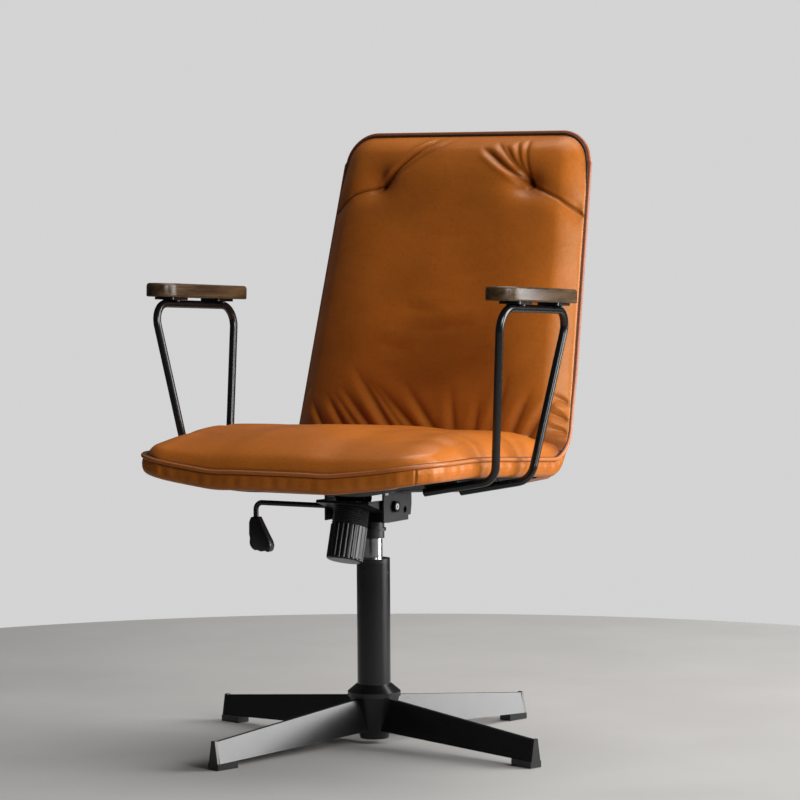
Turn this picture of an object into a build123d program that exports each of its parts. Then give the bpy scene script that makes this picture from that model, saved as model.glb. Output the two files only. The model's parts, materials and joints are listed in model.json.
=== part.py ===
from build123d import *
import os
from math import cos, radians, sin, tan

# Office chair with a four-legged swivel base, a gas lift, a tilting seat and wooden arm pads.
# Millimetres. The origin is on the floor under the column, +Z is up and the seat faces -Y.

# Fits
press_gap = 0.05
running_gap = 0.05
soft_gap = 0.3
swing_gap = 0.3

# Base
leg_reach = 328.0
leg_turn = -15.0
leg_names = ("left", "rear", "right", "front")
leg_top_width = 6.5
leg_bottom_width = 20.0
leg_wall = 2.0
leg_top_at_hub = 71.5
leg_top_at_tip = 40.0
leg_bottom_at_hub = 21.0
leg_bottom_at_tip = 9.0
leg_start = 20.0
hub_bottom = 8.0
hub_foot_radius = 21.5
hub_cone_radius = 38.0
collar_radius = 40.0
collar_bottom = 72.0
collar_top = 79.0
hub_top = 90.0
hub_lip = 2.0
rod_hole_radius = 13.0
foot_length = 38.5
foot_width = 21.8
foot_end = 4.5
foot_rim = 0.6
foot_plug_length = 26.0
foot_plug_height = 14.0
foot_round = 1.5

# Gas lift
tube_radius = 25.0
tube_wall = 1.5
tube_bottom = 36.0
piston_show = 30.7
bush_flange = 6.0
bush_length = 100.0
dimple_count = 4
dimple_radius = 3.0
dimple_depth = 0.8
dimple_drop = 14.0
floor_thickness = 4.0
floor_hole = 8.0
washer_outer = 20.0
washer_thickness = 2.0
ball_count = 10
ball_radius = 2.5
ball_circle = 13.5
rod_radius = 5.0
rod_tail = 6.0
piston_bottom = 195.0
piston_height = 20.0
groove_depth = 1.0
clip_thickness = 1.5
clip_width = 4.0
clip_mouth = 6.0
buffer_radius = 18.0
buffer_height = 12.0
cylinder_radius = 14.0
cylinder_wall = 1.5
cylinder_bottom = 95.0
taper_stand = 6.0
chamber_drop = 10.0
guide_inset = 2.0
guide_height = 16.0
taper_length = 33.0
taper_top_radius = 13.2
pin_radius = 3.0
socket_radius = 17.0
socket_rim_radius = 19.5
socket_rim_rise = 11.0
socket_rim_height = 4.0

# Tilt mechanism
housing_half_width = 45.0
housing_wall = 3.0
housing_height = 34.0
housing_rear = 28.0
housing_front = -33.5
housing_drop = 11.5
housing_rear_drop = 13.0
pivot_y = -24.3
pivot_drop = 10.0
pivot_radius = 5.0
pivot_head_radius = 8.5
pivot_head_height = 5.0
pivot_nut_size = 16.0
pivot_nut_height = 6.0
pivot_end = 1.0
ear_gap = 3.0
ear_wall = 3.0
ear_front = -56.0
ear_rear = 27.5
ear_drop = 32.0
ear_step_drop = 26.0
ear_step_y = 6.0
ear_hole_radius = 5.0
ear_slot_radius = 6.5
ear_slot_length = 9.0

# Tension bolt, spring, bellows and knob on a slanted axis
bolt_lean = 17.0
nose_y = -62.0
nose_drop = 11.0
nose_length = 61.0
nose_plate = 4.0
nose_hole_radius = 7.6
bolt_radius = 5.0
trunnion_rise = 16.0
trunnion_radius = 6.0
trunnion_length = 56.0
lug_radius = 10.0
lug_spread = 20.0
lug_wall = 4.0
bellows_length = 28.0
bellows_radius = 27.0
bellows_rib = 2.0
bellows_wall = 1.2
bellows_ribs = 9
knob_radius = 27.5
knob_height = 52.0
knob_wall = 3.0
knob_floor = 6.0
knob_boss_radius = 11.0
knob_boss_height = 18.0
flute_count = 24
flute_radius = 2.6
flute_depth = 1.1
knob_edge = 4.0
insert_size = 13.0
insert_height = 12.0
spring_radius = 18.0
spring_wire = 2.4
spring_turns = 6

# Height lever
lever_y = 7.4
lever_depth = 17.0
lever_radius = 4.0
lever_reach = 211.0
lever_drop = 38.0
lever_bend = 11.0
tongue_inner = 16.0
tongue_outer = 22.0
tongue_front = -6.0
tongue_rear = 12.0
tongue_thickness = 4.0
bush_ball_radius = 7.7
bush_ball_width = 7.0
lever_hole_radius = 8.0
paddle_outline = ((-8.5, 0.0), (8.5, 0.0), (36.0, -54.0), (-6.0, -50.0))
paddle_thickness = 11.0
paddle_edge = 2.0
paddle_round = 6.0
paddle_socket = 16.0

# Seat, in its own plane, which drops to the rear
seat_height = 382.5
seat_pitch = 3.9
seat_flat = 95.0
seat_wing = 10.5
seat_knee = 200.0
seat_front = 299.5
seat_bow = 16.0
seat_half_width = 245.0
seat_rear_half_width = 235.0
seat_corner = 60.0
seat_rear = 196.0
boxing_height = 25.5
boxing_width = 30.0
board_recess = 3.5
board_thickness = 12.0
cover_thickness = 1.5
rear_turn = ((100.0, -2.0), (156.0, 13.0), (198.0, 50.0))
seat_stations = ((-302.0, 8.0), (-284.0, 30.0), (-245.0, 51.0), (-180.0, 65.0), (-90.0, 71.0),
                 (0.0, 71.0), (75.0, 69.0), (145.0, 67.0), (215.0, 65.0))
shoulder_inset = 50.0
flank_inset = 12.0
shoulder_share = 0.60
flank_share = 0.36
edge_share = 0.06
crease_gap = 1.5

# Back, in its own plane, which leans to the rear
back_y = 194.0
back_lift = 106.5
back_lean = 15.2
back_top = 440.0
back_half_width = 233.0
back_top_half_width = 210.0
back_corner = 46.0
back_bottom = -90.0
back_split = 58.0
back_board_thickness = 6.5
back_board_inset = 6.0
rear_cover_thickness = 3.2
back_stations = ((-92.0, 50.0, 34.0), (0.0, 50.0, 24.0), (100.0, 52.0, 13.0), (210.0, 54.0, 10.0),
                 (310.0, 52.0, 9.0), (380.0, 44.0, 8.0), (422.0, 27.0, 8.0), (443.0, 11.0, 7.0))
back_shoulder_share = 0.80
back_flank_share = 0.93
back_flank_height = 0.48
tuft_x = 129.0
tuft_s = 354.0
tuft_depth_face = 12.0
tuft_flare = 28.0
tuft_tip = 3.0
channel_edge = (222.0, 313.0)
channel_top = (45.0, 448.0)
channel_edge_face = 4.0
channel_tuft_face = 20.0
channel_top_face = 8.0
channel_slant = 32.0
channel_rise = 75.0

# J-shaped bar between the seat board and the back board
bar_half_width = 70.0
bar_thickness = 5.0
bar_start = 55.0
bar_bend = 40.0
bar_top = 150.0
rivet_radius = 3.0
rivet_spread = 45.0
rivet_first = 75.0
rivet_second = 110.0
rivet_third = 60.0
rivet_fourth = 120.0

# Welt
welt_radius = 2.6
welt_bend = 58.0
welt_turn = 45.0
bow_share = 0.8

# Seat plate
plate_half_width = 82.0
plate_front = -95.0
plate_rear = 88.0
plate_thickness = 3.0
plate_corner = 14.0
plate_bolt_x = 66.0
plate_bolt_front = -78.0
plate_bolt_rear = 72.0
bolt_shank_radius = 3.0
bolt_head_radius = 5.5
bolt_head_height = 4.0
bolt_depth = 10.0

# Arms
arm_radius = 6.0
arm_bend = 28.0
arm_inset = 99.0
arm_room = 16.0
arm_front_y = -103.0
arm_rear_y = 8.0
arm_front_spread = 49.0
arm_front_top_y = -146.0
arm_front_rise = 280.5
arm_rear_spread = 45.0
arm_rear_top_y = 76.0
arm_rear_rise = 269.5
arm_plate_gap = 0.5
arm_plate_width = 56.0
arm_plate_margin = 12.0
arm_plate_thickness = 3.0
arm_screw_spread_x = 30.0
arm_screw_spread_y = 56.0
pad_length = 236.0
pad_width = 60.0
pad_thickness = 20.5
pad_corner = 28.0
pad_edge = 5.0
pad_shift = -0.5
tab_length = 44.0
tab_width = 34.0
tab_thickness = 4.0
tab_spread = 124.0
tab_screw_offset = 11.0
screw_radius = 2.0
screw_head_radius = 4.0
screw_head_height = 2.4
screw_depth = 12.0

# Heights that follow the seat
housing_top = seat_height - housing_drop
housing_rear_top = housing_top - housing_rear_drop
housing_floor = housing_top - housing_height
pivot_z = housing_top - pivot_drop
nose_z = housing_top - nose_drop
lever_z = housing_top - lever_depth
ear_bottom = housing_top - ear_drop
ear_step = housing_top - ear_step_drop
cylinder_top = housing_floor + taper_stand
taper_bottom = cylinder_top - taper_length
socket_rim_bottom = taper_bottom + socket_rim_rise
chamber_top = taper_bottom - chamber_drop
column_top = taper_bottom - piston_show
back_z = seat_height + back_lift

# Widths that follow the seat
seat_shoulder = seat_half_width - shoulder_inset
seat_flank = seat_half_width - flank_inset
arm_inner_x = seat_half_width - arm_inset
arm_lower_x = seat_half_width + arm_room
arm_front_top = (seat_half_width + arm_front_spread, arm_front_top_y, seat_height + arm_front_rise)
arm_rear_top = (seat_half_width + arm_rear_spread, arm_rear_top_y, seat_height + arm_rear_rise)
arm_plate_end = min(seat_half_width, seat_rear_half_width) - boxing_width - arm_plate_gap - seat_flat
arm_plate_start = arm_plate_end / cos(radians(seat_wing)) - arm_plate_width

# Frames worked out from the sizes above
seat_plane = Plane(
    origin=(0, 0, seat_height),
    x_dir=(1, 0, 0),
    z_dir=(0, sin(radians(seat_pitch)), cos(radians(seat_pitch))),
)
seat_side = Plane(origin=seat_plane.origin, x_dir=seat_plane.y_dir, z_dir=(1, 0, 0))
back_plane = Plane(
    origin=(0, back_y, back_z),
    x_dir=(1, 0, 0),
    z_dir=(0, -cos(radians(back_lean)), sin(radians(back_lean))),
)
bolt_up = Vector(0, sin(radians(bolt_lean)), cos(radians(bolt_lean)))
nose = Vector(0, nose_y, nose_z)
bolt_plane = Plane(origin=nose, x_dir=(1, 0, 0), z_dir=bolt_up)
bolt_profile = Plane(origin=nose, x_dir=(1, 0, 0), z_dir=Vector(1, 0, 0).cross(bolt_up))
bolt_axis = Axis(nose, bolt_up)
trunnion = nose + bolt_up * trunnion_rise
wing_tan = tan(radians(seat_wing))
tube_top = column_top - bush_flange
floor_top = tube_bottom + floor_thickness
ball_height = floor_top + washer_thickness + ball_radius
upper_washer = floor_top + washer_thickness + 2 * ball_radius
buffer_bottom = upper_washer + washer_thickness
clip_top = tube_bottom - swing_gap
ear_inner = housing_half_width + ear_gap
tube_bore = tube_radius - tube_wall
cylinder_bore = cylinder_radius - cylinder_wall
tongue_bottom = lever_z - tongue_thickness / 2
board_top = board_recess + board_thickness
cover_bottom = board_recess - cover_thickness
welt_offset = welt_radius + soft_gap
arm_under = arm_plate_thickness / cos(radians(seat_wing)) - cover_bottom

os.makedirs("parts", exist_ok=True)


def save(piece, name):
    """Label a finished piece and write it as its own file."""
    piece.part.label = name
    export_step(piece.part, f"parts/{name}.step")


def turned(points, plane=Plane.XZ, axis=Axis.Z):
    """A turned piece from (radius, height) points about the plane's own axis."""
    with BuildPart() as piece:
        with BuildSketch(plane):
            with BuildLine():
                Polyline(*points, close=True)
            make_face()
        revolve(axis=axis)
    return piece


def ring(inner, outer, bottom, top):
    """A plain turned ring on the column axis."""
    return turned(((inner, bottom), (outer, bottom), (outer, top), (inner, top)))


def leg_line(at_hub, at_tip, reach):
    """Height of a straight leg edge at a distance from the column axis."""
    return at_hub + (at_tip - at_hub) * (reach - leg_start) / (leg_reach - leg_start)


def leg_plane(angle, reach):
    """The plane square to a leg at a distance from the column axis."""
    outward = Vector(cos(radians(angle)), sin(radians(angle)), 0)
    return Plane(origin=outward * reach, x_dir=(-outward.Y, outward.X, 0), z_dir=outward)


def leg_outline(reach, shrink=0.0, drop=0.0):
    """Corner points of the leg's section, shrunk evenly, with its foot lowered by a drop."""
    top = leg_line(leg_top_at_hub, leg_top_at_tip, reach) - 2 * shrink
    bottom = leg_line(leg_bottom_at_hub, leg_bottom_at_tip, reach) - drop
    wide = leg_bottom_width / 2 - shrink
    narrow = leg_top_width / 2 - shrink
    return ((-wide, bottom), (wide, bottom), (narrow, top), (-narrow, top))


def outline_half_width(outline, level):
    """Half the width of a leg section at a height."""
    foot, top = outline[1], outline[2]
    return foot[0] + (top[0] - foot[0]) * (level - foot[1]) / (top[1] - foot[1])


def polygon_loft(sections, mode=Mode.ADD):
    """Straight-sided loft through (plane, points) sections, inside a part block."""
    faces = []
    for plane, points in sections:
        with BuildSketch(plane) as section:
            with BuildLine():
                Polyline(*points, close=True)
            make_face()
        faces.append(section.sketch.face())
    loft(sections=faces, ruled=True, mode=mode)


# Base hub: a cone with a collar and a bore for the column
base_hub = turned((
    (rod_hole_radius, hub_bottom),
    (hub_foot_radius, hub_bottom),
    (hub_cone_radius, collar_bottom),
    (collar_radius, collar_bottom),
    (collar_radius, collar_top),
    (tube_radius + hub_lip, hub_top),
    (tube_radius + press_gap, hub_top),
    (tube_radius + press_gap, tube_bottom),
    (rod_hole_radius, tube_bottom),
))
save(base_hub, "base_hub")

# The hub's outside as a full plug, to cut the legs to it
hub_core = turned((
    (0, hub_bottom), (hub_foot_radius, hub_bottom), (hub_cone_radius, collar_bottom),
    (hub_cone_radius, hub_top), (0, hub_top),
))

leg_tip = leg_reach - foot_end
for number, leg_name in enumerate(leg_names):
    angle = leg_turn + number * 360 / len(leg_names)

    # A leg is a folded channel, narrow at the top and open underneath
    with BuildPart() as leg:
        polygon_loft([(leg_plane(angle, reach), leg_outline(reach)) for reach in (leg_start, leg_tip)])
        polygon_loft(
            [(leg_plane(angle, reach), leg_outline(reach, leg_wall, leg_wall))
             for reach in (leg_start, leg_tip)],
            mode=Mode.SUBTRACT,
        )
        add(hub_core.part, mode=Mode.SUBTRACT)
    save(leg, f"leg_{leg_name}")

    # A foot closes the end of the leg, plugs into it and stands on the floor
    plug_start = leg_tip - foot_plug_length
    pad_start = leg_reach - foot_length
    with BuildPart() as foot:
        end_points = leg_outline(leg_tip, -foot_rim, leg_bottom_at_tip - foot_round)
        with BuildSketch(leg_plane(angle, leg_tip)):
            with BuildLine():
                Polyline(*end_points, close=True)
            make_face()
        extrude(amount=foot_end)
        plug_sections = []
        for reach in (plug_start, leg_tip):
            bore = leg_outline(reach, leg_wall, leg_wall)
            low = leg_line(leg_bottom_at_hub, leg_bottom_at_tip, reach)
            high = low + foot_plug_height
            wide = outline_half_width(bore, low) - press_gap
            narrow = outline_half_width(bore, high) - press_gap
            outline = ((-wide, low), (wide, low), (narrow, high), (-narrow, high))
            plug_sections.append((leg_plane(angle, reach), outline))
        polygon_loft(plug_sections)
        pad_sections = []
        for reach in (pad_start, leg_tip):
            level = leg_line(leg_bottom_at_hub, leg_bottom_at_tip, reach)
            half = foot_width / 2
            pad_sections.append(
                (leg_plane(angle, reach), ((-half, 0), (half, 0), (half, level), (-half, level)))
            )
        polygon_loft(pad_sections)
        with BuildSketch(leg_plane(angle, leg_tip)):
            with BuildLine():
                Polyline(*[(x, z) for x, z in pad_sections[1][1]], close=True)
            make_face()
        extrude(amount=foot_end)
    save(foot, f"foot_{leg_name}")

# Gas lift, standing in the base
column_tube = ring(tube_bore, tube_radius, tube_bottom, tube_top)
with BuildPart() as dimpled_tube:
    add(column_tube.part)
    with Locations((0, 0, tube_top - dimple_drop)):
        with PolarLocations(tube_radius + dimple_radius - dimple_depth, dimple_count):
            Sphere(dimple_radius, mode=Mode.SUBTRACT)
save(dimpled_tube, "column_tube")

bush_bore = cylinder_radius + running_gap
column_bush = turned((
    (bush_bore, column_top - bush_length),
    (tube_bore - press_gap, column_top - bush_length),
    (tube_bore - press_gap, tube_top),
    (tube_radius, tube_top),
    (tube_radius, column_top),
    (bush_bore, column_top),
))
save(column_bush, "column_bush")

tube_floor = ring(floor_hole, tube_bore - press_gap, tube_bottom, floor_top)
save(tube_floor, "tube_floor")

washer_inner = rod_radius + running_gap
lower_washer = ring(floor_hole, washer_outer, floor_top, floor_top + washer_thickness)
save(lower_washer, "bearing_lower_washer")

with BuildPart() as bearing_balls:
    with Locations((0, 0, ball_height)):
        with PolarLocations(ball_circle, ball_count):
            Sphere(ball_radius - running_gap)
save(bearing_balls, "bearing_balls")

# Parts that turn with the rod
upper_ring = ring(washer_inner, washer_outer, upper_washer, upper_washer + washer_thickness)
save(upper_ring, "bearing_upper_washer")

rubber_buffer = ring(washer_inner, buffer_radius, buffer_bottom, buffer_bottom + buffer_height)
save(rubber_buffer, "rubber_buffer")

groove_radius = rod_radius - groove_depth
clip_bottom = clip_top - clip_thickness
piston_top = piston_bottom + piston_height
piston_rod = turned((
    (0, clip_bottom - rod_tail),
    (rod_radius, clip_bottom - rod_tail),
    (rod_radius, clip_bottom - press_gap),
    (groove_radius, clip_bottom - press_gap),
    (groove_radius, clip_top + press_gap),
    (rod_radius, clip_top + press_gap),
    (rod_radius, piston_top),
    (0, piston_top),
))
save(piston_rod, "piston_rod")

gas_piston = ring(washer_inner, cylinder_bore - running_gap, piston_bottom, piston_top)
save(gas_piston, "gas_piston")

with BuildPart() as rod_clip:
    with BuildSketch(Plane.XY.offset(clip_bottom)):
        Circle(groove_radius + press_gap + clip_width)
        Circle(groove_radius + press_gap, mode=Mode.SUBTRACT)
        with Locations((0, clip_width + groove_radius)):
            Rectangle(clip_mouth, 2 * (clip_width + groove_radius), mode=Mode.SUBTRACT)
    extrude(amount=clip_thickness)
save(rod_clip, "rod_clip")

# Cylinder, which slides on the rod and carries the seat on its taper
gas_cylinder = turned((
    (cylinder_bore, cylinder_bottom),
    (cylinder_radius, cylinder_bottom),
    (cylinder_radius, taper_bottom),
    (taper_top_radius, cylinder_top),
    (pin_radius + running_gap, cylinder_top),
    (pin_radius + running_gap, chamber_top),
    (cylinder_bore, chamber_top),
))
save(gas_cylinder, "gas_cylinder")

guide_bottom = cylinder_bottom + guide_inset
cylinder_guide = ring(washer_inner, cylinder_bore - press_gap, guide_bottom, guide_bottom + guide_height)
save(cylinder_guide, "cylinder_guide")

valve_pin = turned((
    (0, chamber_top), (pin_radius, chamber_top),
    (pin_radius, tongue_bottom - swing_gap), (0, tongue_bottom - swing_gap),
))
save(valve_pin, "valve_pin")

socket_hole = socket_radius + press_gap
taper_socket = turned((
    (cylinder_radius + press_gap, taper_bottom),
    (socket_radius, taper_bottom),
    (socket_radius, socket_rim_bottom),
    (socket_rim_radius, socket_rim_bottom),
    (socket_rim_radius, socket_rim_bottom + socket_rim_height),
    (socket_radius, socket_rim_bottom + socket_rim_height),
    (socket_radius, cylinder_top),
    (taper_top_radius + press_gap, cylinder_top),
))
save(taper_socket, "taper_socket")


# Housing of the tilt mechanism: two walls, a floor, a rear wall and a slanted nose for the spring
def along_nose(forward, up=0.0):
    """A point (Y, Z) on the nose plate, measured forwards along it and up from its underside."""
    ahead = bolt_up.cross(Vector(1, 0, 0)) * -forward
    point = nose + ahead + bolt_up * up
    return (point.Y, point.Z)


nose_front = along_nose(nose_length / 2)
nose_rear = along_nose(-nose_length / 2)
wall_points = (
    (housing_rear, housing_floor),
    (housing_front, housing_floor),
    nose_rear,
    nose_front,
    along_nose(nose_length / 2, nose_plate),
    (pivot_y - pivot_head_radius, housing_top),
    (pivot_y + pivot_head_radius, housing_top),
    (housing_rear, housing_rear_top),
)
inner_half = housing_half_width - housing_wall
with BuildPart() as mech_housing:
    with BuildSketch(Plane.YZ.offset(inner_half)):
        with BuildLine():
            Polyline(*wall_points, close=True)
        make_face()
        with Locations((pivot_y, pivot_z)):
            Circle(pivot_radius + press_gap, mode=Mode.SUBTRACT)
    extrude(amount=housing_wall)
    mirror(about=Plane.YZ)
    with BuildSketch(Plane.XY.offset(housing_floor)):
        with Locations((0, (housing_front + housing_rear) / 2)):
            Rectangle(2 * inner_half, housing_rear - housing_front)
    extrude(amount=housing_wall)
    with BuildSketch(Plane.XY.offset(housing_floor)):
        with Locations((0, housing_rear - housing_wall / 2)):
            Rectangle(2 * inner_half, housing_wall)
    extrude(amount=housing_rear_top - housing_floor)
    with BuildSketch(Plane.XY.offset(housing_floor)):
        with Locations((0, housing_front + housing_wall / 2)):
            Rectangle(2 * inner_half, housing_wall)
    extrude(amount=nose_rear[1] - housing_floor + nose_plate)
    with BuildSketch(bolt_plane):
        Rectangle(2 * inner_half, nose_length)
        Circle(nose_hole_radius, mode=Mode.SUBTRACT)
    extrude(amount=nose_plate)
    with BuildSketch(Plane.XY.offset(housing_floor)):
        Circle(socket_hole)
    extrude(amount=housing_wall, mode=Mode.SUBTRACT)
    with BuildSketch(Plane.YZ.offset(-housing_half_width)):
        with Locations((lever_y, lever_z)):
            Circle(lever_hole_radius)
    extrude(amount=housing_wall, mode=Mode.SUBTRACT)
save(mech_housing, "mech_housing")

# Pivot bolts with their nuts and spacers, one pair at each side
ear_outer = ear_inner + ear_wall
nut_face = inner_half
with BuildPart() as pivot_bolts:
    with BuildSketch(Plane.YZ.offset(nut_face - pivot_nut_height - pivot_end)):
        with Locations((pivot_y, pivot_z)):
            Circle(pivot_radius)
    extrude(amount=ear_outer + swing_gap - nut_face + pivot_nut_height + pivot_end)
    with BuildSketch(Plane.YZ.offset(ear_outer + swing_gap)):
        with Locations((pivot_y, pivot_z)):
            Circle(pivot_head_radius)
    extrude(amount=pivot_head_height)
    mirror(about=Plane.YZ)
save(pivot_bolts, "pivot_bolts")

with BuildPart() as pivot_nuts:
    with BuildSketch(Plane.YZ.offset(nut_face - pivot_nut_height)):
        with Locations((pivot_y, pivot_z)):
            RegularPolygon(pivot_nut_size / 2, 6, major_radius=False)
            Circle(pivot_radius + press_gap, mode=Mode.SUBTRACT)
    extrude(amount=pivot_nut_height)
    mirror(about=Plane.YZ)
save(pivot_nuts, "pivot_nuts")

with BuildPart() as pivot_spacers:
    with BuildSketch(Plane.YZ.offset(housing_half_width)):
        with Locations((pivot_y, pivot_z)):
            Circle(pivot_head_radius)
            Circle(pivot_radius + press_gap, mode=Mode.SUBTRACT)
    extrude(amount=ear_gap - swing_gap)
    mirror(about=Plane.YZ)
save(pivot_spacers, "pivot_spacers")

# Bellows over the spring, with ribs down its length
rib_pitch = bellows_length / bellows_ribs
outside = [(bellows_radius - bellows_rib * (step % 2), -step * rib_pitch / 2)
           for step in range(2 * bellows_ribs + 1)]
inside = [(radius - bellows_wall - running_gap, height) for radius, height in reversed(outside)]
bellows = turned(outside + inside, bolt_profile, bolt_axis)
save(bellows, "bellows")

# Spring between the nose plate and the floor of the knob
knob_top = -bellows_length - swing_gap
knob_bottom = knob_top - knob_height
spring_bottom = knob_bottom + knob_floor + swing_gap
spring_height = -spring_bottom - 2 * spring_wire - swing_gap
spring_start = nose + bolt_up * (spring_bottom + spring_wire)
with BuildPart() as tension_spring:
    with BuildLine() as spring_line:
        Helix(spring_height / spring_turns, spring_height, spring_radius, spring_start, bolt_up)
    with BuildSketch(Plane(spring_line.line @ 0, z_dir=spring_line.line % 0)):
        Circle(spring_wire)
    sweep(is_frenet=True)
save(tension_spring, "tension_spring")

# Bolt with its cross bar, hung in the lugs of the seat plate
insert_floor = knob_bottom + knob_floor
insert_top = insert_floor + insert_height
with BuildPart() as tension_bolt:
    with BuildSketch(bolt_plane.offset(insert_floor)):
        Circle(bolt_radius)
    extrude(amount=trunnion_rise - insert_floor)
    with BuildSketch(Plane.YZ.offset(-trunnion_length / 2)):
        with Locations((trunnion.Y, trunnion.Z)):
            Circle(trunnion_radius)
    extrude(amount=trunnion_length)
save(tension_bolt, "tension_bolt")

# Knob: a fluted cup with a boss for the threaded insert
with BuildPart(bolt_plane.offset(knob_bottom)) as tension_knob:
    with BuildSketch(bolt_plane.offset(knob_bottom)):
        Circle(knob_radius)
    extrude(amount=knob_height)
    fillet(tension_knob.edges().group_by(Axis(nose, bolt_up))[0], knob_edge)
    with BuildSketch(bolt_plane.offset(knob_bottom)):
        with PolarLocations(knob_radius + flute_radius - flute_depth, flute_count):
            Circle(flute_radius)
    extrude(amount=knob_height, mode=Mode.SUBTRACT)
    with BuildSketch(bolt_plane.offset(knob_bottom + knob_floor)):
        Circle(knob_radius - knob_wall)
        Circle(knob_boss_radius, mode=Mode.SUBTRACT)
    extrude(amount=knob_height, mode=Mode.SUBTRACT)
    with BuildSketch(bolt_plane.offset(knob_bottom + knob_floor + knob_boss_height)):
        Circle(knob_boss_radius)
    extrude(amount=knob_height, mode=Mode.SUBTRACT)
    with BuildSketch(bolt_plane.offset(insert_top)):
        Circle(bolt_radius + running_gap)
    extrude(amount=knob_height, mode=Mode.SUBTRACT)
    with BuildSketch(bolt_plane.offset(insert_floor)):
        RegularPolygon(insert_size / 2, 6, major_radius=False)
    extrude(amount=insert_height, mode=Mode.SUBTRACT)
save(tension_knob, "tension_knob")

with BuildPart() as knob_insert:
    with BuildSketch(bolt_plane.offset(insert_floor)):
        RegularPolygon(insert_size / 2 - press_gap, 6, major_radius=False)
        Circle(bolt_radius + running_gap, mode=Mode.SUBTRACT)
    extrude(amount=insert_height)
save(knob_insert, "knob_insert")

# Height lever: a ball bush in the housing wall, the bent rod with its tongue, and the paddle
wall_middle = -(housing_half_width - housing_wall / 2)
with BuildPart() as lever_bush:
    with Locations((wall_middle, lever_y, lever_z)):
        Sphere(bush_ball_radius)
        Box(bush_ball_width, 4 * bush_ball_radius, 4 * bush_ball_radius, mode=Mode.INTERSECT)
    with BuildSketch(Plane.YZ.offset(wall_middle - bush_ball_width)):
        with Locations((lever_y, lever_z)):
            Circle(lever_radius + running_gap)
    extrude(amount=2 * bush_ball_width, mode=Mode.SUBTRACT)
save(lever_bush, "lever_bush")

lever_points = (
    (-tongue_inner + lever_radius, lever_y, lever_z),
    (-lever_reach, lever_y, lever_z),
    (-lever_reach, lever_y, lever_z - lever_drop),
)
with BuildPart() as lever_rod:
    with BuildLine() as lever_line:
        FilletPolyline(*lever_points, radius=lever_bend)
    with BuildSketch(Plane(lever_line.line @ 0, z_dir=lever_line.line % 0)):
        Circle(lever_radius)
    sweep()
    with BuildSketch(Plane.XY.offset(tongue_bottom)):
        with Locations(((tongue_inner - tongue_outer) / 2, (tongue_front + tongue_rear) / 2)):
            Rectangle(tongue_inner + tongue_outer, tongue_rear - tongue_front)
    extrude(amount=tongue_thickness)
save(lever_rod, "lever_rod")

paddle_top_z = lever_z - lever_drop + paddle_socket
with BuildPart() as lever_paddle:
    with BuildSketch(Plane.XZ.offset(-lever_y - paddle_thickness / 2)):
        with BuildLine():
            Polyline(*[(x - lever_reach, z + paddle_top_z) for x, z in paddle_outline], close=True)
        make_face()
    extrude(amount=paddle_thickness)
    fillet(lever_paddle.edges().filter_by(Axis.Y), paddle_round)
    fillet(lever_paddle.faces().filter_by(Axis.Y).edges(), paddle_edge)
    with BuildSketch(Plane.XY.offset(lever_z - lever_drop - press_gap)):
        with Locations((-lever_reach, lever_y)):
            Circle(lever_radius + press_gap)
    extrude(amount=lever_drop, mode=Mode.SUBTRACT)
save(lever_paddle, "lever_paddle")


# Seat: a flat middle and two wings that rise to the sides
def wing(x):
    """Rise of the seat's wings above its flat middle."""
    return max(0.0, abs(x) - seat_flat) * wing_tan


def seat_front_at(x):
    """Front edge of the seat, bowed forwards in the middle."""
    return -seat_front + seat_bow * (x / seat_half_width) ** 2


def seat_outline(inset):
    """Plan outline of the seat as a face in the seat's plane, drawn in by an inset."""
    with BuildSketch(seat_plane) as outline:
        corner = seat_front_at(seat_half_width)
        with BuildLine():
            front = ThreePointArc((-seat_half_width, corner), (0, -seat_front), (seat_half_width, corner))
            Polyline(
                front @ 1, (seat_rear_half_width, seat_rear), (-seat_rear_half_width, seat_rear),
                front @ 0,
            )
        make_face()
        fillet(outline.vertices().group_by(Axis.Y)[0], seat_corner)
        if inset:
            offset(amount=-inset, kind=Kind.INTERSECTION, mode=Mode.REPLACE)
    return outline.sketch


def wing_section(low, high):
    """Section of a layer of the seat between two heights, as a face at the seat's rear."""
    reach = seat_half_width + boxing_width
    rise = wing(reach)
    rear = Plane(
        origin=seat_plane.from_local_coords((0, seat_rear + boxing_width, 0)),
        x_dir=(1, 0, 0),
        z_dir=-seat_plane.y_dir,
    )
    with BuildSketch(rear) as section:
        with BuildLine():
            Polyline(
                (-reach, rise + low), (-seat_flat, low), (seat_flat, low), (reach, rise + low),
                (reach, rise + high), (seat_flat, high), (-seat_flat, high), (-reach, rise + high),
                close=True,
            )
        make_face()
        knees = [corner for corner in section.vertices() if abs(corner.X) < seat_half_width]
        fillet(knees, seat_knee)
    return section.sketch


def side_outline():
    """Side view of the seat with its rear turned up in a round corner."""
    below = -seat_half_width
    above = seat_half_width
    with BuildSketch(seat_side) as outline:
        with BuildLine():
            turn = ThreePointArc(*rear_turn)
            Polyline(
                turn @ 1, (rear_turn[2][0], above), (-seat_front - boxing_width, above),
                (-seat_front - boxing_width, below), (rear_turn[0][0], below), turn @ 0,
            )
        make_face()
    return outline.sketch


def side_room():
    """The room inside the side view, carried straight across the middle and up along the wings."""
    with BuildPart() as room:
        extrude(side_outline(), amount=seat_flat, both=True)
        for side in (-1, 1):
            knee_face = side_outline().moved(Location((side * seat_flat, 0, 0)))
            extrude(knee_face, amount=seat_half_width, dir=wing_plane(side).x_dir)
    return room.part


def seat_layer(low, high, inset):
    """A layer of the seat between two heights above its underside, within its outline."""
    depth = seat_front + seat_rear + 2 * boxing_width
    with BuildPart() as layer:
        extrude(wing_section(low, high), amount=depth)
        extrude(seat_outline(inset), amount=depth, both=True, mode=Mode.INTERSECT)
        add(side_room(), mode=Mode.INTERSECT)
    return layer.part


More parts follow.
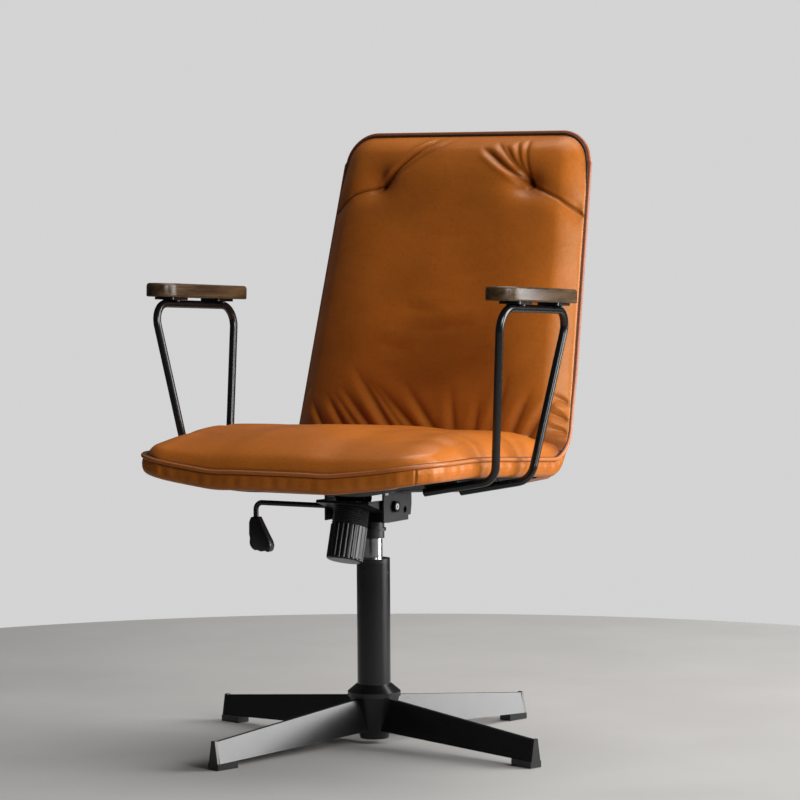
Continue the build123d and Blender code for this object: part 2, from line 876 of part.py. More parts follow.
def wing_plane(side):
    """The plane of one wing's underside, with X running outwards up the wing."""
    slope = radians(seat_wing)
    outward = Vector(side, 0, 0) * cos(slope) + seat_plane.z_dir * sin(slope)
    upward = seat_plane.z_dir * cos(slope) - Vector(side, 0, 0) * sin(slope)
    knee = seat_plane.from_local_coords((side * seat_flat, 0, 0))
    return Plane(origin=knee, x_dir=outward, z_dir=upward)


plate_top = cover_bottom
plate_bolt_places = [
    (x, y) for x in (-plate_bolt_x, plate_bolt_x) for y in (plate_bolt_front, plate_bolt_rear)
]
arm_middle_y = (arm_front_y + arm_rear_y) / 2
arm_plate_middle = arm_plate_start + arm_plate_width / 2
arm_screw_places = [
    (arm_plate_middle + across * arm_screw_spread_x / 2, arm_middle_y + along * arm_screw_spread_y / 2)
    for across in (-1, 1) for along in (-1, 1)
]
rivet_seat_places = [(x, y) for x in (-rivet_spread, rivet_spread) for y in (rivet_first, rivet_second)]
rivet_back_places = [(x, y) for x in (-rivet_spread, rivet_spread) for y in (rivet_third, rivet_fourth)]


def wing_places(side, places):
    """Places on a wing; the mirrored wing's Y runs the other way."""
    return [(x, side * y) for x, y in places]


with BuildPart() as seat_board:
    add(seat_layer(board_recess, board_top, boxing_width + soft_gap))
    with BuildSketch(seat_plane):
        with Locations(*plate_bolt_places):
            Circle(bolt_shank_radius + press_gap)
    extrude(amount=plate_top + bolt_depth, mode=Mode.SUBTRACT)
    with BuildSketch(seat_plane):
        with Locations(*rivet_seat_places):
            Circle(rivet_radius + press_gap)
    extrude(amount=board_top + seat_flat, mode=Mode.SUBTRACT)
    for side in (-1, 1):
        with BuildSketch(wing_plane(side)):
            with Locations(*wing_places(side, arm_screw_places)):
                Circle(bolt_shank_radius + press_gap)
        extrude(amount=cover_bottom + bolt_depth, mode=Mode.SUBTRACT)
save(seat_board, "seat_board")

with BuildPart() as dust_cover:
    add(seat_layer(cover_bottom, board_recess, boxing_width + soft_gap))
    with BuildSketch(seat_plane):
        with Locations(*plate_bolt_places):
            Circle(bolt_shank_radius + press_gap)
    extrude(amount=board_top, mode=Mode.SUBTRACT)
    for side in (-1, 1):
        with BuildSketch(wing_plane(side)):
            with Locations(*wing_places(side, arm_screw_places)):
                Circle(bolt_shank_radius + press_gap)
        extrude(amount=board_top, mode=Mode.SUBTRACT)
save(dust_cover, "dust_cover")

with BuildPart() as seat_boxing:
    add(seat_layer(0, boxing_height, 0))
    extrude(seat_outline(boxing_width), amount=seat_half_width, both=True, mode=Mode.SUBTRACT)
save(seat_boxing, "seat_boxing")

# Stamped plate under the seat, with two ears for the pivot bolts and two lugs for the tension bolt
def plate_middle(y):
    """Height of the middle of the seat plate's thickness at a depth."""
    return seat_height - y * tan(radians(seat_pitch)) + plate_top - plate_thickness / 2


ear_points = (
    (ear_front, plate_middle(ear_front)),
    (ear_front, ear_bottom),
    (ear_step_y, ear_bottom),
    (ear_step_y, ear_step),
    (ear_rear - ear_wall, ear_step),
    (ear_rear, pivot_z),
    (ear_rear, plate_middle(ear_rear)),
)
lug_points = (
    (trunnion.Y - lug_radius, trunnion.Z),
    (trunnion.Y + lug_radius, trunnion.Z),
    (trunnion.Y + lug_radius, plate_middle(trunnion.Y + lug_radius)),
    (trunnion.Y - lug_radius, plate_middle(trunnion.Y - lug_radius)),
)
with BuildPart() as seat_plate:
    with BuildSketch(seat_plane.offset(plate_top - plate_thickness)):
        with Locations((0, (plate_front + plate_rear) / 2)):
            RectangleRounded(2 * plate_half_width, plate_rear - plate_front, plate_corner)
        with Locations(*plate_bolt_places):
            Circle(bolt_shank_radius + press_gap, mode=Mode.SUBTRACT)
    extrude(amount=plate_thickness)
    for side in (-1, 1):
        inner_face = ear_inner if side > 0 else -ear_inner - ear_wall
        with BuildSketch(Plane.YZ.offset(inner_face)):
            with BuildLine():
                Polyline(*ear_points, close=True)
            make_face()
            with Locations((pivot_y, pivot_z)):
                Circle(pivot_radius + running_gap, mode=Mode.SUBTRACT)
            if side > 0:
                with Locations((lever_y, lever_z)):
                    Circle(ear_hole_radius, mode=Mode.SUBTRACT)
            else:
                with Locations((lever_y, lever_z + ear_slot_length / 2)):
                    SlotCenterToCenter(ear_slot_length, 2 * ear_slot_radius, rotation=90, mode=Mode.SUBTRACT)
        extrude(amount=ear_wall)
        lug_face = lug_spread if side > 0 else -lug_spread - lug_wall
        with BuildSketch(Plane.YZ.offset(lug_face)):
            with BuildLine():
                Polyline(*lug_points, close=True)
            make_face()
            with Locations((trunnion.Y, trunnion.Z)):
                Circle(lug_radius)
                Circle(trunnion_radius + running_gap, mode=Mode.SUBTRACT)
        extrude(amount=lug_wall)
save(seat_plate, "seat_plate")

with BuildPart() as plate_bolts:
    plate_under = plate_top - plate_thickness
    with BuildSketch(seat_plane.offset(plate_under)):
        with Locations(*plate_bolt_places):
            Circle(bolt_shank_radius)
    extrude(amount=plate_thickness + bolt_depth - press_gap)
    with BuildSketch(seat_plane.offset(plate_under - bolt_head_height)):
        with Locations(*plate_bolt_places):
            RegularPolygon(bolt_head_radius, 6)
    extrude(amount=bolt_head_height)
save(plate_bolts, "plate_bolts")


# Bar bent like a J, on top of the seat board and up the front of the back board
def back_point(rise, ahead):
    """A point (Y, Z) on the back, measured up along it and forwards from its plane."""
    point = back_plane.from_local_coords((0, rise, ahead))
    return Vector(point.Y, point.Z)


def seat_point(depth, up):
    """A point (Y, Z) on the seat, measured to the rear along it and up from its underside."""
    point = seat_plane.from_local_coords((0, depth, up))
    return Vector(point.Y, point.Z)


def meeting(up, ahead):
    """Where a line along the seat at a height meets a line along the back at a distance ahead."""
    seat_a, seat_b = seat_point(0, up), seat_point(1, up)
    back_a, back_b = back_point(0, ahead), back_point(1, ahead)
    along = seat_b - seat_a
    rise = back_b - back_a
    gap = back_a - seat_a
    step = (gap.X * rise.Y - gap.Y * rise.X) / (along.X * rise.Y - along.Y * rise.X)
    return seat_a + along * step


with BuildPart() as bar_blank:
    with BuildSketch(Plane.YZ.offset(-bar_half_width)):
        inner_corner = meeting(board_top + bar_thickness, bar_thickness)
        outer_corner = meeting(board_top, 0)
        with BuildLine() as bar_line:
            FilletPolyline(
                seat_point(bar_start, board_top), outer_corner, back_point(bar_top, 0),
                radius=bar_bend + bar_thickness,
            )
            FilletPolyline(
                seat_point(bar_start, board_top + bar_thickness), inner_corner,
                back_point(bar_top, bar_thickness), radius=bar_bend,
            )
            Line(seat_point(bar_start, board_top), seat_point(bar_start, board_top + bar_thickness))
            Line(back_point(bar_top, 0), back_point(bar_top, bar_thickness))
        make_face()
    extrude(amount=2 * bar_half_width)

with BuildPart() as back_bar:
    add(bar_blank.part)
    with BuildSketch(seat_plane):
        with Locations(*rivet_seat_places):
            Circle(rivet_radius + press_gap)
    extrude(amount=board_top + 2 * bar_thickness, mode=Mode.SUBTRACT)
    with BuildSketch(back_plane.offset(-bar_thickness)):
        with Locations(*rivet_back_places):
            Circle(rivet_radius + press_gap)
    extrude(amount=3 * bar_thickness, mode=Mode.SUBTRACT)
save(back_bar, "back_bar")

with BuildPart() as bar_rivets:
    with BuildSketch(seat_plane.offset(board_recess)):
        with Locations(*rivet_seat_places):
            Circle(rivet_radius)
    extrude(amount=board_thickness + bar_thickness)
    with BuildSketch(back_plane.offset(-back_board_thickness)):
        with Locations(*rivet_back_places):
            Circle(rivet_radius)
    extrude(amount=back_board_thickness + bar_thickness)
save(bar_rivets, "bar_rivets")


# Back: a board, a crowned cushion with two tufts, and a rear cover
def back_half(rise):
    """Half the width of the back at a distance up along it."""
    return back_half_width + (back_top_half_width - back_half_width) * rise / back_top


def back_outline(inset):
    """Outline of the back as a face in its plane, drawn in by an inset."""
    with BuildSketch(back_plane) as outline:
        with BuildLine():
            Polyline(
                (-back_half(back_bottom), back_bottom), (back_half(back_bottom), back_bottom),
                (back_top_half_width, back_top), (-back_top_half_width, back_top),
                close=True,
            )
        make_face()
        fillet(outline.vertices().group_by(Axis.Z)[-1], back_corner)
        if inset:
            offset(amount=-inset, kind=Kind.INTERSECTION, mode=Mode.REPLACE)
    return outline.sketch


split_plane = seat_plane.offset(back_split)
with BuildPart() as back_board:
    extrude(back_outline(back_board_inset), amount=-back_board_thickness)
    split(bisect_by=split_plane, keep=Keep.TOP)
    with BuildSketch(back_plane.offset(-2 * back_board_thickness)):
        with Locations(*rivet_back_places):
            Circle(rivet_radius + press_gap)
    extrude(amount=3 * back_board_thickness, mode=Mode.SUBTRACT)
save(back_board, "back_board")

with BuildPart() as rear_cover:
    cover_front = -back_board_thickness - soft_gap
    extrude(back_outline(0).moved(Location(back_plane.z_dir * cover_front)), amount=-rear_cover_thickness)
    split(bisect_by=split_plane, keep=Keep.TOP)
save(rear_cover, "rear_cover")


def crown_face(plane, half, bottom, points):
    """Crowned section: a foot of (x, height) points, two side edges and three arcs over the top."""
    middle, shoulder, flank, edge = points
    with BuildSketch(plane) as section:
        with BuildLine():
            Polyline((-half, edge[1]), *bottom, (half, edge[1]))
            ThreePointArc((half, edge[1]), flank, shoulder)
            ThreePointArc(shoulder, (0, middle), (-shoulder[0], shoulder[1]))
            ThreePointArc((-shoulder[0], shoulder[1]), (-flank[0], flank[1]), (-half, edge[1]))
        make_face()
    return section.sketch.face()


back_faces = []
for rise, middle, edge in back_stations:
    half = back_half(rise) + soft_gap
    plane = Plane(
        origin=back_plane.from_local_coords((0, rise, 0)), x_dir=(-1, 0, 0), z_dir=back_plane.y_dir,
    )
    shoulder_height = edge + (middle - edge) * back_shoulder_share
    flank_height = edge + (middle - edge) * back_flank_height
    points = (
        middle,
        (half * back_shoulder_share, shoulder_height),
        (half * back_flank_share, flank_height),
        (half, edge),
    )
    back_faces.append(crown_face(plane, half, ((-half, soft_gap), (half, soft_gap)), points))


def channel(start, end, start_face, end_face):
    """Cut a sewn channel into the back cushion between two points of its plane."""
    direction = Vector(end[0] - start[0], end[1] - start[1])
    forward = back_plane.x_dir * direction.X + back_plane.y_dir * direction.Y
    across = back_plane.z_dir.cross(forward)
    sections = []
    for place, face in ((start, start_face), (end, end_face)):
        origin = back_plane.from_local_coords((place[0], place[1], 0))
        half = (channel_rise - face) * tan(radians(channel_slant))
        outline = ((0, face), (half, channel_rise), (-half, channel_rise))
        sections.append((Plane(origin=origin, x_dir=across, z_dir=forward), outline))
    polygon_loft(sections, mode=Mode.SUBTRACT)


with BuildPart() as back_cushion:
    loft(sections=back_faces)
    extrude(back_outline(0), amount=channel_rise, both=True, mode=Mode.INTERSECT)
    split(bisect_by=split_plane, keep=Keep.TOP)
    for side in (-1, 1):
        tuft = (side * tuft_x, tuft_s)
        channel((side * channel_edge[0], channel_edge[1]), tuft, channel_edge_face, channel_tuft_face)
        channel(tuft, (side * channel_top[0], channel_top[1]), channel_tuft_face, channel_top_face)
        with BuildSketch(back_plane.offset(tuft_depth_face)):
            with Locations(tuft):
                Circle(tuft_tip)
        extrude(amount=channel_rise - tuft_depth_face, taper=-tuft_flare, mode=Mode.SUBTRACT)
    add(bar_blank.part, mode=Mode.SUBTRACT)
save(back_cushion, "back_cushion")

# Seat cushion: crowned, rolled down at the front, with a low tongue under the back cushion
crease = max(middle for rise, middle, edge in back_stations[:3]) + crease_gap
seat_faces = []
for depth, crown in seat_stations:
    half = seat_half_width + soft_gap
    plane = Plane(
        origin=seat_plane.from_local_coords((0, depth, 0)), x_dir=(1, 0, 0), z_dir=-seat_plane.y_dir,
    )
    bottom = ((-half, board_recess), (half, board_recess))
    points = (
        boxing_height + crown,
        (seat_shoulder, wing(seat_shoulder) + boxing_height + crown * shoulder_share),
        (seat_flank, wing(seat_flank) + boxing_height + crown * flank_share),
        (half, wing(half) + boxing_height + crown * edge_share),
    )
    seat_faces.append(crown_face(plane, half, bottom, points))

with BuildPart() as boxing_room:
    add(seat_layer(0, boxing_height + soft_gap, 0))
    extrude(seat_outline(boxing_width + soft_gap), amount=seat_half_width, both=True, mode=Mode.SUBTRACT)

tongue_top = back_split - soft_gap
with BuildPart() as seat_cushion:
    loft(sections=seat_faces)
    extrude(seat_outline(0), amount=seat_half_width, both=True, mode=Mode.INTERSECT)
    add(side_room(), mode=Mode.INTERSECT)
    add(seat_layer(-boxing_height, board_top + soft_gap, 0), mode=Mode.SUBTRACT)
    add(boxing_room.part, mode=Mode.SUBTRACT)
    with BuildSketch(Plane.YZ):
        with BuildLine():
            Polyline(
                meeting(tongue_top, crease), back_point(back_top, crease), back_point(back_top, -back_top),
                seat_point(back_top, tongue_top), close=True,
            )
        make_face()
    extrude(amount=seat_half_width + boxing_width, both=True, mode=Mode.SUBTRACT)
    add(bar_blank.part, mode=Mode.SUBTRACT)
save(seat_cushion, "seat_cushion")

# Welt: half of a round cord sewn into the edge, mirrored to close the loop
welt_front = seat_front + welt_offset
welt_half = seat_half_width + welt_offset
welt_corner = seat_corner + welt_offset
welt_level = boxing_height + soft_gap
corner_x = welt_half - welt_corner
corner_y = seat_front_at(corner_x) - welt_offset + welt_corner
corner_reach = welt_corner / cos(radians(welt_turn / 2))
front_places = [(0.0, -welt_front), (corner_x / 2, -welt_front)]
for turn in (welt_turn / 2 - 90, -welt_turn / 2):
    front_places.append(
        (corner_x + corner_reach * cos(radians(turn)), corner_y + corner_reach * sin(radians(turn)))
    )
welt_points = [seat_plane.from_local_coords((x, y, wing(x) + welt_level)) for x, y in front_places]
bend_x = back_half(back_bottom) + welt_offset
bend = meeting(wing(bend_x) + welt_level, 0)
top_x = back_top_half_width + welt_offset
top_rise = back_top + welt_offset
welt_points += [
    Vector(bend_x, bend.X, bend.Y),
    back_plane.from_local_coords((top_x, top_rise, 0)),
    back_plane.from_local_coords((0, top_rise, 0)),
]
bow_run = welt_points[1] - welt_points[0]
bow_turn = radians(bow_run.get_angle(welt_points[2] - welt_points[1]))
bow_radius = bow_share * bow_run.length / tan(bow_turn / 2)
welt_radii = [bow_radius, welt_corner, welt_corner, welt_bend, back_corner + welt_offset]
with BuildPart() as welt:
    with BuildLine() as welt_line:
        FilletPolyline(*welt_points, radius=welt_radii)
    with BuildSketch(Plane(welt_line.line @ 0, z_dir=welt_line.line % 0)):
        Circle(welt_radius)
    sweep()
    split(bisect_by=Plane.YZ, keep=Keep.TOP)
    mirror(about=Plane.YZ)
save(welt, "welt")


# Arms: one bent rod each side, a plate under the seat, two tabs and a wooden pad
def under_wing(x, y):
    """Middle of an arm rod that runs under the wing at a place across and along the seat."""
    level = wing(x) - arm_under - arm_radius / cos(radians(seat_wing))
    return seat_plane.from_local_coords((x, y, level))


front_top = Vector(*arm_front_top)
rear_top = Vector(*arm_rear_top)
arm_run = (rear_top - front_top).normalized()
arm_out = arm_run.cross(Vector(0, 0, 1)).normalized()
arm_up = arm_out.cross(arm_run)
arm_middle = (front_top + rear_top) / 2
tab_plane = Plane(origin=arm_middle + arm_up * arm_radius, x_dir=arm_run, z_dir=arm_up)
pad_plane = tab_plane.offset(tab_thickness)
tab_places = [(pad_shift - tab_spread / 2, 0), (pad_shift + tab_spread / 2, 0)]
pad_screw_places = [(x, y) for x, _ in tab_places for y in (-tab_screw_offset, tab_screw_offset)]

with BuildPart() as arm_rod_left:
    with BuildLine() as arm_line:
        FilletPolyline(
            under_wing(arm_inner_x, arm_front_y),
            under_wing(arm_lower_x, arm_front_y),
            front_top,
            rear_top,
            under_wing(arm_lower_x, arm_rear_y),
            under_wing(arm_inner_x, arm_rear_y),
            radius=arm_bend,
        )
    with BuildSketch(Plane(arm_line.line @ 0, z_dir=arm_line.line % 0)):
        Circle(arm_radius)
    sweep()
save(arm_rod_left, "arm_rod_left")

plate_bottom = -arm_under * cos(radians(seat_wing))
plate_length = arm_rear_y - arm_front_y + 2 * arm_plate_margin
with BuildPart() as arm_plate_left:
    with BuildSketch(wing_plane(1).offset(plate_bottom)):
        with Locations((arm_plate_middle, arm_middle_y)):
            RectangleRounded(arm_plate_width, plate_length, arm_plate_margin / 2)
        with Locations(*arm_screw_places):
            Circle(bolt_shank_radius + press_gap, mode=Mode.SUBTRACT)
    extrude(amount=arm_plate_thickness)
save(arm_plate_left, "arm_plate_left")

with BuildPart() as arm_screws:
    with BuildSketch(wing_plane(1).offset(plate_bottom)):
        with Locations(*arm_screw_places):
            Circle(bolt_shank_radius)
    extrude(amount=arm_plate_thickness + bolt_depth)
    with BuildSketch(wing_plane(1).offset(plate_bottom - bolt_head_height)):
        with Locations(*arm_screw_places):
            Circle(bolt_head_radius)
    extrude(amount=bolt_head_height)
    mirror(about=Plane.YZ)
save(arm_screws, "arm_screws")

with BuildPart() as pad_tabs:
    with BuildSketch(tab_plane):
        with Locations(*tab_places):
            RectangleRounded(tab_length, tab_width, screw_head_radius)
        with Locations(*pad_screw_places):
            Circle(screw_radius + press_gap, mode=Mode.SUBTRACT)
    extrude(amount=tab_thickness)
    mirror(about=Plane.YZ)
save(pad_tabs, "pad_tabs")

with BuildPart() as pad_screws:
    with BuildSketch(tab_plane):
        with Locations(*pad_screw_places):
            Circle(screw_radius)
    extrude(amount=tab_thickness + screw_depth - press_gap)
    with BuildSketch(tab_plane.offset(-screw_head_height)):
        with Locations(*pad_screw_places):
            Circle(screw_head_radius)
    extrude(amount=screw_head_height)
    mirror(about=Plane.YZ)
save(pad_screws, "pad_screws")

with BuildPart() as arm_pad_left:
    with BuildSketch(pad_plane):
        with Locations((pad_shift, 0)):
            RectangleRounded(pad_length, pad_width, pad_corner)
    extrude(amount=pad_thickness)
    fillet(arm_pad_left.faces().sort_by(Axis.Z)[-1].edges(), pad_edge)
    fillet(arm_pad_left.faces().sort_by(Axis.Z)[0].edges(), pad_edge / 2)
    with BuildSketch(pad_plane):
        with Locations(*pad_screw_places):
            Circle(screw_radius + press_gap)
    extrude(amount=screw_depth, mode=Mode.SUBTRACT)
save(arm_pad_left, "arm_pad_left")

left_pieces = ((arm_rod_left, "arm_rod"), (arm_plate_left, "arm_plate"), (arm_pad_left, "arm_pad"))
for left_piece, name in left_pieces:
    with BuildPart() as right_piece:
        mirror(left_piece.part, about=Plane.YZ)
    save(right_piece, f"{name}_right")
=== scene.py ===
import json
from math import cos, pi, radians, sin, tan

import bpy
import numpy as np
from bpy.props import FloatProperty, FloatVectorProperty, PointerProperty
from mathutils import Matrix, Vector


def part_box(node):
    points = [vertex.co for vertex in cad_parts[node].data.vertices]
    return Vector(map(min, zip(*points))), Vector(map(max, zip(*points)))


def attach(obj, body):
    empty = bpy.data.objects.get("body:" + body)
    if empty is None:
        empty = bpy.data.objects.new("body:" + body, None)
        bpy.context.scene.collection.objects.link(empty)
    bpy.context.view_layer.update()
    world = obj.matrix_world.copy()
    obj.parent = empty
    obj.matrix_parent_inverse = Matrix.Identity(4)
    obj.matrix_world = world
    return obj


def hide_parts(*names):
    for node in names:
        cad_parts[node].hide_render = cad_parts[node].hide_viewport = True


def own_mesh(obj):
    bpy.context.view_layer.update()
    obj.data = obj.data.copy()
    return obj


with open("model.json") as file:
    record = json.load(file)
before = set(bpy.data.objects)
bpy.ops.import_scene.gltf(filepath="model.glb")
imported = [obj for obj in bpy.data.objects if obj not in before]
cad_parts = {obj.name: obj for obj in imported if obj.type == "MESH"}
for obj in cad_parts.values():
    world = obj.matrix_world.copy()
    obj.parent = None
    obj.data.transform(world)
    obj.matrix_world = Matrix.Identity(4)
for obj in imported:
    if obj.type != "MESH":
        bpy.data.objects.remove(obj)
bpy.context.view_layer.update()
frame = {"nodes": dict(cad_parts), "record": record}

bl_info = {
    "name": "Tan leather office chair",
    "version": (1, 0, 0),
    "blender": (4, 5, 0),
    "location": "3D View > Sidebar > Chair",
    "description": "Dresses the office chair's frame with leather, wood, paint and a plain stage",
    "category": "Object",
}

JOINTS = {joint["name"]: joint for joint in frame["record"]["behaviour"]["joints"]}
MERGE = 1e-6
LEATHER_NAME = "chair_tan_leather"
PLASTIC_NAME = "chair_black_plastic"
CLOTH_NAME = "chair_black_cloth"


def length(name, description, default):
    """A length that the sidebar shows in the scene's unit."""
    return FloatProperty(name=name, description=description, default=default, unit="LENGTH", precision=4)


def angle(name, description, degrees):
    """An angle that the sidebar shows in degrees."""
    return FloatProperty(name=name, description=description, default=radians(degrees), subtype="ANGLE")


def share(name, description, default):
    """A plain share between nothing and one."""
    return FloatProperty(
        name=name, description=description, default=default, min=0.0, max=1.0, subtype="FACTOR",
    )


def colour(name, description, default):
    """A linear colour."""
    return FloatVectorProperty(name=name, description=description, default=default, size=3, subtype="COLOR")


class ChairShell(bpy.types.PropertyGroup):
    """Where the seat and the back lie, and their outlines"""

    seat_height: length("Seat height", "Underside of the seat at the column", 0.3825)
    seat_pitch: angle("Seat pitch", "How far the seat drops to the rear", 3.9)
    seat_front: length("Seat front", "Reach of the front edge from the column", 0.2995)
    seat_bow: length("Front bow", "How far the front edge bows forwards", 0.016)
    seat_half: length("Seat half width", "Half the width at the front corners", 0.245)
    seat_rear_half: length("Rear half width", "Half the width at the rear of the seat", 0.235)
    seat_depth: length("Seat depth", "Distance over which the width changes", 0.4795)
    seat_corner: length("Front corner", "Radius of the front corners", 0.060)
    boxing: length("Boxing height", "Height of the band under the welt", 0.0258)
    flat: length("Flat middle", "Half width of the seat's flat middle", 0.095)
    wing: angle("Wing", "Slope of the seat's sides", 10.5)
    knee: length("Knee", "Half the length of the bend into each wing", 0.018)
    back_y: length("Back place", "How far behind the column the back is set", 0.194)
    back_z: length("Back level", "Height at which the back is set", 0.489)
    back_lean: angle("Back lean", "How far the back leans to the rear", 15.2)
    back_rise: length("Back rise", "Length of the back above its set point", 0.440)
    back_half: length("Back half width", "Half the width at the set point", 0.233)
    back_top_half: length("Top half width", "Half the width at the top", 0.210)
    back_corner: length("Top corner", "Radius of the top corners", 0.046)
    back_shell: length("Back shell", "Thickness of the board and its rear cover", 0.0100)
    bend: length("Bend", "Radius of the edge between seat and back", 0.058)
    droop: length("Corner droop", "How far the front corners hang", 0.0075)


class ChairPadding(bpy.types.PropertyGroup):
    """How full the cushions are and how the leather is sewn"""

    seat_crown: length("Seat crown", "Height of the seat's middle above its welt", 0.071)
    seat_front_roll: length("Front roll", "Depth of the roll at the front", 0.205)
    seat_side_roll: length("Side roll", "Width of the roll at each side", 0.052)
    seat_side_drop: share("Side drop", "How much lower the sides are than the middle", 0.5)
    back_crown: length("Back crown", "Thickness of the back's padding", 0.050)
    back_roll: length("Back roll", "Width of the roll round the back", 0.120)
    back_edge: length("Back edge", "Width of the round edge of the back", 0.034)
    tuft_x: length("Tuft place", "Distance of a tuft from the middle", 0.129)
    tuft_rise: length("Tuft rise", "Height of the tufts along the back", 0.354)
    tuft_depth: length("Tuft depth", "How deep the tufts are pulled", 0.021)
    tuft_width: length("Tuft width", "Width of the hollow round a tuft", 0.028)
    seam_depth: length("Seam depth", "Depth of a sewn seam", 0.0032)
    seam_width: length("Seam width", "Width of a sewn seam", 0.0024)
    side_bulge: length("Side bulge", "How far the back's sides swell past the welt", 0.0060)
    cloth_sag: length("Cloth sag", "How far the cloth under the seat sags", 0.0075)
    cloth_inset: length("Cloth inset", "Distance of the cloth from the seat's edge", 0.0042)
    cloth_rise: length("Cloth rise", "Height of the cloth above the seat's underside", 0.0030)
    cloth_end: length("Cloth end", "How far before the bend the cloth ends", 0.015)
    cloth_thickness: length("Cloth thickness", "Thickness of the cloth", 0.0008)
    pad_bow: length("Pad bow", "How far a pad's outer side draws in at its ends", 0.013)
    knob_travel: length("Knob travel", "How far the knob rises when the seat tilts fully", 0.0074)
    grip_thickness: length("Grip thickness", "Thickness of the lever's grip", 0.0145)
    # The seam cord beside the welt is a dark cord of painted shadow that shows either side of the welt.
    seam_shadow_radius: length("Welt seam radius", "Radius of the seam behind the welt", 0.0038)
    seam_shadow_offset: length("Welt seam offset", "Distance of the seam's middle from the edge", 0.0012)
    welt_radius: length("Welt radius", "Radius of the welt cord", 0.0032)
    welt_offset: length("Welt offset", "Distance of the welt's middle from the edge", 0.0027)
    back_seam_shadow_radius: length("Back seam radius", "Radius of the seam beside the back's welt", 0.0024)
    back_seam_shadow_ahead: length("Back seam place", "How far the back's seam lies ahead of the edge", 0.0012)
    back_welt_offset: length("Back welt offset", "Distance of the back's welt from the edge", 0.0040)
    back_welt_behind: length("Back welt place", "How far the back's welt lies behind the edge", 0.0015)


class ChairColours(bpy.types.PropertyGroup):
    """The chair's finishes"""

    leather: colour("Leather", "Tan leather", (0.43, 0.120, 0.014))
    welt: colour("Back welt", "Welt round the back", (0.290, 0.078, 0.022))
    walnut: colour("Walnut", "Wood of the arm pads", (0.096, 0.056, 0.025))
    walnut_dark: colour("Walnut grain", "Dark grain of the wood", (0.022, 0.012, 0.007))
    paint: colour("Black paint", "Paint of the base and rods", (0.005, 0.005, 0.0055))
    plastic: colour("Black plastic", "Knob, paddle and feet", (0.006, 0.006, 0.006))
    steel: colour("Steel", "Bare steel", (0.45, 0.45, 0.46))
    chrome: colour("Chrome", "Chromed cylinder", (0.78, 0.78, 0.80))
    floor: colour("Floor", "Pale floor", (0.37, 0.362, 0.350))


class ChairView(bpy.types.PropertyGroup):
    """Where the camera stands"""

    azimuth: angle("Azimuth", "Turn of the camera about the column", 29.99)
    distance: length("Distance", "Level distance from the column", 5.0452)
    height: length("Height", "Height of the lens", 0.8318)
    pitch: angle("Pitch", "How far the camera looks down", 3.577)
    pan: angle("Pan", "How far the camera looks aside", -0.472)
    roll: angle("Roll", "How far the camera leans", -0.358)
    lens: FloatProperty(name="Lens", description="Focal length in millimetres", default=152.09, min=1.0)
    floor_radius: length("Floor radius", "Radius of the round floor", 1.55)


def smooth_step(value):
    """A smooth rise from nothing to one."""
    value = np.clip(value, 0.0, 1.0)
    return value * value * (3.0 - 2.0 * value)


def fade(value, width, start=0.0):
    """A smooth rise from nothing at the start to one after a width."""
    return smooth_step((value - start) / width)


def bell(far, width):
    """A bell curve, one in the middle."""
    return np.exp(-(far / width) ** 2)


def rounded(value):
    """A quarter circle's rise, as padding has beside a seam."""
    return np.sqrt(np.clip(1.0 - (1.0 - np.clip(value, 0.0, 1.0)) ** 2, 0.0, 1.0))


# Where the seat's front corners begin to hang and over what width, across the seat and towards the front.
DROOP_SIDE = 0.05
DROOP_SIDE_WIDTH = 0.16
DROOP_FRONT = 0.09
DROOP_FRONT_WIDTH = 0.18


